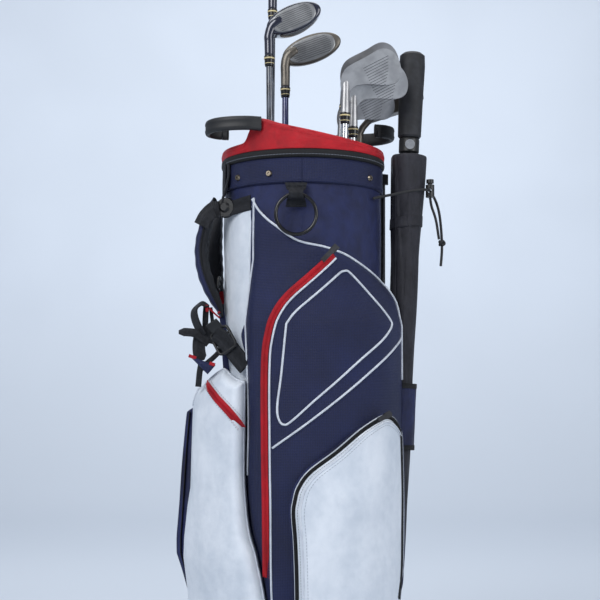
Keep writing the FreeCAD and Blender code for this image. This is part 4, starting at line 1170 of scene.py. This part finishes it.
def sleeve():
    """Cloth sleeve that carries the umbrella, hemmed, with its wing sewn to the bag."""
    s0, s1 = 0.3147, 0.4128
    s = np.concatenate([np.linspace(s0, s1, 40), np.linspace(s1, s0, 40)])[None, :]
    a = np.linspace(0, 2 * np.pi, 96, endpoint=False)[:, None]
    outer = (np.arange(80) < 40)[None, :]
    soft = waves(np.minimum(a, 2 * np.pi - a), s, 0.06, 61) * 0.0005
    r = np.where(outer, 0.0243 + soft, 0.0222)
    grid = about_umbrella(s + 0 * a, r + 0 * s, a + 0 * s)
    uv = np.stack([a * 0.024 + 0 * s, s + 0 * a], -1)
    tube = grid_piece("umbrella_sleeve_cloth", grid, navy_plain, uv=uv, wrap_u=True,
                      wrap_v=True)
    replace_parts(tube, "umbrella_sleeve")
    a = np.linspace(0, 2 * np.pi, 96, endpoint=False)
    for k, at in enumerate((s0 + 0.003, s1 - 0.003)):
        loop = about_umbrella(np.full(96, at), np.full(96, 0.0246), a)
        hint = unit(loop - loop.mean(axis=0))
        grid = sweep(loop, hint, rounded_bar(0.0009, 0.0038, 5, 14))
        uv = np.stack([np.repeat(a[:, None] * 0.024, 14, 1),
                       np.tile(np.linspace(0, 0.02, 14), (96, 1))], -1)
        grid_piece("umbrella_sleeve_hem_" + "ab"[k], grid, black_tape, uv=uv, wrap_u=True,
                   wrap_v=True)
    t = np.linspace(0, 1, 24)[:, None]
    z = np.linspace(0.378, 0.470, 40)[None]
    tube_x, tube_y = BODY_RX * 0.955, BODY_RY * 0.28
    x = tube_x + (0.150 - tube_x) * t + (z - 0.42) * 0.04 * t
    y = tube_y + (0.0305 - tube_y) * t + 0.002 * np.sin(np.pi * t)
    wing = np.stack([x + 0 * z, y + 0 * z, z + 0 * t], -1)
    both = np.concatenate([wing, (wing + np.array([0, -0.0016, 0]))[::-1]], axis=0)
    uv = np.stack([both[..., 0], both[..., 2]], -1)
    grid_piece("umbrella_sleeve_wing", both, navy_plain, uv=uv, wrap_u=True)


CORD_ROUTE = [
    (101.5, -61, 742), (115, -56, 746), (132, -43, 751), (150, -30, 757), (172, -25, 761),
    (187.5, -11, 764), (193, 9, 763), (201, 17, 752), (206, 16, 735), (208, 13, 716),
    (209, 10, 699), (209.5, 8.5, 684), (209, 8, 667), (207.5, 8, 652),
]
CORD_STRAND = [
    (190.7, 0, 753.6), (192, 1, 742), (197, 2, 730), (200.5, 2, 717), (202.5, 3.5, 704),
    (204.7, 6.2, 692),
]


def nurbs_cord(name, points, material):
    curve = bpy.data.curves.new(name, "CURVE")
    curve.dimensions = "3D"
    curve.resolution_u = 16
    curve.bevel_depth = 0.002
    curve.bevel_resolution = 4
    curve.use_fill_caps = True
    spline = curve.splines.new("NURBS")
    spline.points.add(len(points) - 1)
    for point, place in zip(spline.points, points):
        point.co = (*(c * MM for c in place), 1.0)
    spline.order_u = 3
    spline.use_endpoint_u = True
    curve.materials.append(material)
    cord = bpy.data.objects.new(name, curve)
    bpy.context.scene.collection.objects.link(cord)
    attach(cord, "bag")
    return cord


def elastic_cord():
    """Elastic cord round the umbrella, through its lock to a knot, with a short tail."""
    main = nurbs_cord("umbrella_elastic", CORD_ROUTE, cord_braid)
    strand = nurbs_cord("umbrella_elastic_return", CORD_STRAND, cord_braid)
    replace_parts(main, "umbrella_cord")
    t = np.linspace(0, 2 * np.pi, 90)
    centre = np.array([0.2092, 0.0083, 0.6865])
    path = centre + 0.0031 * np.stack([np.cos(2 * t) * (1 + 0.3 * np.cos(3 * t)),
                                       np.sin(2 * t) * (1 + 0.3 * np.cos(3 * t)),
                                       0.9 * np.sin(3 * t)], -1)
    hint = unit(path - centre)
    grid = sweep(path[:-1], hint[:-1], ring(0.0019, 10))
    knot = grid_piece("umbrella_elastic_knot", grid, cord_braid, wrap_u=True, wrap_v=True)
    tuple(c * MM for c in CORD_ROUTE[0])
    tuple(c * MM for c in CORD_STRAND[0])


# ---- club heads ---------------------------------------------------------------------------
def club_frame(foot, mouth, head_z):
    """Function that carries points from a head's own frame (Z up the shaft) to its place."""
    low = np.array([*foot, 18.0])
    axis = unit(np.array([*mouth, 840.0]) - low)
    start = low + axis * (head_z - 18.0) / axis[2]
    v = np.cross([0, 0, 1.0], axis)
    c = axis[2]
    k = np.array([[0, -v[2], v[1]], [v[2], 0, -v[0]], [-v[1], v[0], 0]])
    turn = np.eye(3) + k + k @ k / (1 + c)
    return lambda p: (np.asarray(p) @ turn.T + start) * MM


def tilted(points, degrees):
    """Turn about Y as a head's lie tilts it."""
    t = math.radians(-degrees)
    x, y, z = points[..., 0], points[..., 1], points[..., 2]
    return np.stack([x * math.cos(t) + z * math.sin(t), y,
                     -x * math.sin(t) + z * math.cos(t)], -1)


CLUBS = {
    "driver": ((-60, 45), (-50, 68), 1060), "fairway_wood": ((-40, -50), (-48, -58), 950),
    "hybrid": ((-28, 30), (-27, 36), 929), "front_iron": ((45, -60), (60, -72), 864),
    "second_iron": ((64, -28), (73, -45), 850), "third_iron": ((36, -8), (60, -16), 890),
    "back_iron": ((44, 24), (58, 14), 834), "putter": ((66, 52), (86, 46), 842),
}
WOOD_HEADS = {
    "driver": (56, 92, 29, 20, (47, 2, 62), 10),
    "fairway_wood": (42, 56, 20, 22, (36, 2, 53), 8),
    "hybrid": (47, 28, 22, 20, (40, 2, 58), 7),
}


def wood_head(name, body_material, face_material):
    """Head: an oval sphere, squared off to a flat, softly rounded face in front."""
    half_x, back, half_z, tilt, centre, front = WOOD_HEADS[name]
    place = club_frame(*CLUBS[name])
    phi = np.linspace(-0.5 * np.pi, 0.5 * np.pi, 90)[:, None]
    a = np.linspace(0, 2 * np.pi, 128, endpoint=False)[None]
    s, c = np.abs(np.sin(phi)), np.cos(phi)
    r = np.where(phi < 0, np.maximum(c, 0) ** 0.36, c ** 0.9)
    y = np.where(phi < 0, -front * s ** 0.5, back * s)
    crown = np.where(np.sin(a) > 0, 1.0, 0.94)
    flat = 1 - 0.08 * smooth(0.1, 0.9, -np.sin(a)) * smooth(-0.2, 0.6, phi)
    p = np.stack([half_x * r * np.cos(a), y + 0 * a, half_z * r * np.sin(a) * crown * flat], -1)
    head = place(tilted(p, tilt) + np.array(centre))
    shell = grid_piece(name + "_crown", head, body_material, name, wrap_v=True, ends=True)
    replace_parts(shell, name + "_head")
    lean = math.radians(tilt)
    heel_x = centre[0] - half_x * math.cos(lean)
    heel_z = centre[2] - half_x * math.sin(lean)
    neck = curve_through([(0, 0, 0), (0, 0, heel_z * 0.5), (0, 0, heel_z - 9),
                          (heel_x + 7, 0.4, heel_z + 3), (heel_x + 14, 1, heel_z + 10),
                          (heel_x + 24, 2, heel_z + 16)], 60)
    share = np.linspace(0, 1, 60)
    girth = np.interp(share, [0, 0.02, 0.5, 0.66, 0.8, 0.93, 1.0],
                      [6.2, 6.8, 7.2, 7.8, 9.0, 9.0, 5.0])
    tube = sweep(neck, np.array([0, -1.0, 0]), ring(1.0, 36)[None] * girth[:, None, None])
    grid_piece(name + "_hosel", place(tube), body_material, name, wrap_v=True, ends=True)
    b = np.linspace(0, 2 * np.pi, 72, endpoint=False)[None]
    t = np.linspace(0, 1, 14)[:, None]
    share = np.array([0.0, 1.0])
    rr = 0.80 * t
    plate = np.stack([half_x * rr * np.sign(np.cos(b)) * np.abs(np.cos(b)) ** 0.8,
                      -front - 0.35 + 0.9 * rr ** 4 + 0 * b,
                      half_z * rr * np.sign(np.sin(b)) * np.abs(np.sin(b)) ** 0.8], -1)
    rim = plate[-1:] + np.array([0, 1.6, 0])
    grid_piece(name + "_face_plate", place(tilted(np.concatenate([plate, rim]), tilt)
                                           + np.array(centre)), face_material, name,
               wrap_v=True)
    rows = np.linspace(-0.56, 0.56, 9)
    lines = []
    for row in rows:
        reach = 0.66 * math.sqrt(1 - row * row) * half_x
        lines.append(np.stack([np.linspace(-reach, reach, 6), np.full(6, -front - 0.42),
                               np.full(6, row * half_z)], -1))
    score_lines(name, lines, lambda q: place(tilted(q, tilt) + np.array(centre)))


def score_lines(name, lines, place):
    """Dark score lines across a face, each a thin bar."""
    disc = ring(0.42, 6)
    grids = []
    for line in lines:
        grid = line[:, None] + np.stack([0 * disc[:, 0], disc[:, 0] * 0.25, disc[:, 1]], -1)
        grids.append(place(grid))
    joined(name + "_score_lines", np.array(grids), groove_shade, name)


def iron_lines(name):
    """Score lines cut across an iron's blade."""
    place = club_frame(*CLUBS[name])
    slope = 19.5 / 53.0
    lines = []
    for h in np.arange(-13.0, -46.0, -3.6):
        y = -12.0 + (1 - h) * slope - 0.12
        reach = np.interp(h, [-46, -30, -13], [30, 42, 50])
        lines.append(np.stack([np.linspace(10, reach, 6), np.full(6, y), np.full(6, h)], -1))
    move = np.array([10.0, 0, 69.0])
    score_lines(name, lines, lambda q: place(tilted(q, 28) + move))


def ferrule(name):
    """Black ferrule with two bright rings where the shaft enters the head."""
    place = club_frame(*CLUBS[name])
    b = np.linspace(0, 2 * np.pi, 40, endpoint=False)[None]
    for part, stations, material in (
        ("ferrule", [(-16.4, 5.4), (-15.6, 6.5), (-9, 7.0), (-1.2, 7.6), (-0.6, 7.3),
                     (-0.3, 5.6)], gloss_ring),
        ("ferrule_ring", [(-5.6, 6.4), (-5.5, 7.7), (-3.6, 7.8), (-3.5, 6.4)], cream),
        ("ferrule_line", [(-12.4, 6.0), (-12.3, 7.15), (-11.5, 7.2), (-11.4, 6.0)], cream),
    ):
        st = np.array(stations)
        t = np.linspace(0, 1, len(st) * 4)
        z = np.interp(t, np.linspace(0, 1, len(st)), st[:, 0])[:, None]
        r = np.interp(t, np.linspace(0, 1, len(st)), st[:, 1])[:, None]
        grid = np.stack([r * np.cos(b), r * np.sin(b), z + 0 * b], -1)
        grid_piece(name + "_" + part, place(grid), material, name, wrap_v=True, ends=True)


def clubs():
    wood_head("driver", club_paint, face_satin)
    wood_head("fairway_wood", club_paint, nickel_face)
    wood_head("hybrid", bronze, nickel_face)
    for name in ("front_iron", "second_iron", "third_iron", "back_iron"):
        iron_lines(name)
    for name in CLUBS:
        if name != "putter":
            ferrule(name)


# ---- finishes on the frame's own pieces -----------------------------------------------------
def assign(material, *nodes):
    for node in nodes:
        mesh = bpy.data.objects[node].data
        for k in range(len(mesh.materials)):
            mesh.materials[k] = material
        if not mesh.materials:
            mesh.materials.append(material)


def frame_finishes():
    assign(boot_rubber, "base_boot", "base_foot")
    assign(screw_steel, "cuff_screws")
    assign(lining_pad, "club_divider")
    assign(black_plastic, "leg_bracket", "strap_hub", "umbrella_collar", "cord_lock_barrel",
           "cord_lock_plunger")
    assign(gloss_ring, "towel_ring")
    assign(leg_metal, "front_leg", "back_leg")
    assign(steel, "actuator_rod", "umbrella_shaft")
    assign(bright_button, "umbrella_button")
    assign(grip_foam, "umbrella_grip")
    assign(fibreglass, "frame_stays")
    assign(slider_metal, "apparel_zip_slider", "ball_zip_slider")
    for name in CLUBS:
        assign(grip_rubber, name + "_grip")
    assign(graphite, "driver_shaft", "fairway_wood_shaft")
    assign(navy_shaft, "hybrid_shaft")
    assign(shaft_chrome, "front_iron_shaft", "second_iron_shaft", "third_iron_shaft",
           "back_iron_shaft", "putter_shaft")
    assign(iron_satin, "front_iron_head", "second_iron_head")
    assign(nickel, "third_iron_head", "back_iron_head")
    assign(bronze, "putter_head")


def leg_shoes():
    """Ribbed rubber shoes over the feet of the stand legs."""
    for name in ("front_leg", "back_leg"):
        low, high = (np.array(c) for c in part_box(name))
        centre = np.array([high[0], (low[1] + high[1]) / 2])
        mesh = bpy.data.objects[name].data
        verts = np.empty(len(mesh.vertices) * 3, np.float32)
        mesh.vertices.foreach_get("co", verts)
        verts = verts.reshape(-1, 3)
        foot = verts[verts[:, 2] < low[2] + 0.03]
        centre = (foot.min(axis=0) + foot.max(axis=0)) / 2
        z = np.linspace(low[2] - 0.0008, low[2] + 0.0348, 44)[:, None]
        share = (z - z.min()) / (z.max() - z.min())
        r = 0.0107 + 0.0006 * np.sin(share * 2 * np.pi * 7) - 0.004 * smooth(0.86, 1.0, share)
        r = r - 0.002 * (1 - smooth(0, 0.05, share))
        a = np.linspace(0, 2 * np.pi, 48, endpoint=False)[None]
        grid = np.stack([centre[0] + r * np.cos(a), centre[1] + r * np.sin(a), z + 0 * a], -1)
        grid_piece(name + "_shoe", grid, boot_rubber, name, wrap_v=True, ends=True)


def boot_ribs():
    """Moulded ribs round the base boot, and the bead along its top."""
    lip = 0.002
    a = np.linspace(0, 2 * np.pi, 73)[:-1]
    rx, ry = BODY_RX + lip, BODY_RY + lip
    z = np.linspace(0.010, 0.036, 8)
    disc = ring(0.0009, 6)
    centre = np.stack([rx * np.sin(a)[:, None] + 0 * z, -ry * np.cos(a)[:, None] + 0 * z,
                       z + 0 * a[:, None]], -1)
    out = unit(np.stack([np.sin(a) / rx, -np.cos(a) / ry, 0 * a], -1))
    side = np.cross(out, [0, 0, 1.0])
    size = np.array([0.3, 0.9, 1, 1, 1, 1, 0.9, 0.3])[None, :, None, None]
    grid = (centre[:, :, None] + out[:, None, None] * disc[None, None, :, :1] * size
            + side[:, None, None] * disc[None, None, :, 1:] * size * 1.6)
    joined("base_boot_ribs", grid, boot_rubber)
    b = np.linspace(0, 2 * np.pi, 220, endpoint=False)
    loop = np.stack([rx * np.sin(b), -ry * np.cos(b), np.full(220, 0.0415)], -1)
    hint = unit(np.stack([np.sin(b), -np.cos(b), 0 * b], -1))
    grid = sweep(loop, hint, ring(0.0016, 10))
    grid_piece("base_boot_bead", grid, boot_rubber, wrap_u=True, wrap_v=True)


cord_braid = moulded("braided_elastic", srgb(26, 27, 30), 0.7, 0.0003, 0.0009)
groove_shade = moulded("groove_shade", srgb(74, 77, 82), 0.5, 0.00001)
nickel_face = metal("brushed_face", (0.32, 0.325, 0.33), 0.4, (0.08, 1.0, 1.0), depth=0.00001)
lining_pad = moulded("divider_padding", srgb(40, 41, 46), 0.7, 0.0003, 0.0016)
bright_button = metal("silver_button", (0.7, 0.7, 0.7), 0.2)
fibreglass = moulded("stay_fibreglass", srgb(60, 62, 60), 0.5, 0.0001)
slider_metal = metal("zip_slider_metal", (0.09, 0.09, 0.095), 0.36)


# ---- building it all ------------------------------------------------------------------------
frame_finishes()
bag_tube()
spine_panel()
collar()
cuff()
lift_handles()
apparel_pocket()
ball_pocket()
side_pocket()
rear_pocket()
strap()
towel_hanger()
umbrella()
sleeve()
elastic_cord()
clubs()
leg_shoes()
boot_ribs()


# ---- floor, light and camera ----------------------------------------------------------------
def studio():
    """Pale floor that curves up into a backdrop, three soft lights, and the camera."""
    depth = np.array([(-3.0, 0.0), (-1.0, 0.0), (1.2, 0.0), (2.4, 0.0), (3.0, 0.12),
                      (3.4, 0.55), (3.55, 1.4), (3.6, 4.5)])
    line = curve_through(depth, 120)
    x = np.linspace(-5.0, 5.0, 3)
    grid = np.stack([np.repeat(x[:, None], 120, 1), np.tile(line[:, 0], (3, 1)),
                     np.tile(line[:, 1], (3, 1))], -1)
    s = Shader("studio_paper")
    tone = s.noise(0.8, 2)
    # Painted light and shade: the paper is greyer low on the floor and turns paler as it rises up the
    # backdrop.
    parts = s.node("ShaderNodeSeparateXYZ", sockets={0: s.place()}, output=2)
    pale = s.mix(tone.step(0.3, 0.7), srgb(212, 220, 230), srgb(218, 226, 236))
    paper = s.done(s.mix(parts.step(-0.1, 1.3), srgb(192, 200, 210), pale), tone * 0.1 + 0.8)
    faces = grid_faces(3, 120).tolist()
    mesh = bpy.data.meshes.new("studio_floor")
    mesh.from_pydata(grid.reshape(-1, 3).tolist(), [], faces)
    mesh.polygons.foreach_set("use_smooth", np.full(len(mesh.polygons), True))
    mesh.materials.append(paper)
    floor = bpy.data.objects.new("studio_floor", mesh)
    bpy.context.scene.collection.objects.link(floor)

    def softbox(name, place, aim, size, power, color=(1, 1, 1)):
        light = bpy.data.lights.new(name, "AREA")
        light.shape = "RECTANGLE"
        light.size, light.size_y = size
        light.energy = power
        light.color = color
        lamp = bpy.data.objects.new(name, light)
        lamp.location = place
        way = Vector(aim) - Vector(place)
        lamp.rotation_euler = way.to_track_quat("-Z", "Y").to_euler()
        bpy.context.scene.collection.objects.link(lamp)

    softbox("key_light", (-1.6, -2.2, 2.3), (0, 0, 0.6), (1.6, 1.6), 62)
    softbox("fill_light", (2.2, -1.8, 1.3), (0, 0, 0.6), (1.4, 1.8), 34)
    softbox("top_light", (0, 0.4, 2.8), (0, 0, 0.5), (2.0, 1.6), 26)
    softbox("backdrop_light", (0, 1.4, 2.4), (0, 3.5, 0.8), (3.4, 1.2), 34)
    bpy.context.scene.view_settings.view_transform = "Standard"
    world = bpy.data.worlds.new("studio_world")
    world.use_nodes = True
    shade = world.node_tree.nodes["Background"]
    shade.inputs[0].default_value = (0.80, 0.87, 1.0, 1.0)
    shade.inputs[1].default_value = 0.42
    bpy.context.scene.world = world

    lens = bpy.data.cameras.new("camera")
    lens.lens = 74.0
    lens.sensor_width = 36.0
    lens.shift_y = 0.178
    lens.clip_end = 50.0
    camera = bpy.data.objects.new("camera", lens)
    camera.location = (-0.0045, -1.85, 0.44)
    camera.rotation_euler = (math.radians(90), 0, 0)
    bpy.context.scene.collection.objects.link(camera)
    bpy.context.scene.camera = camera


studio()
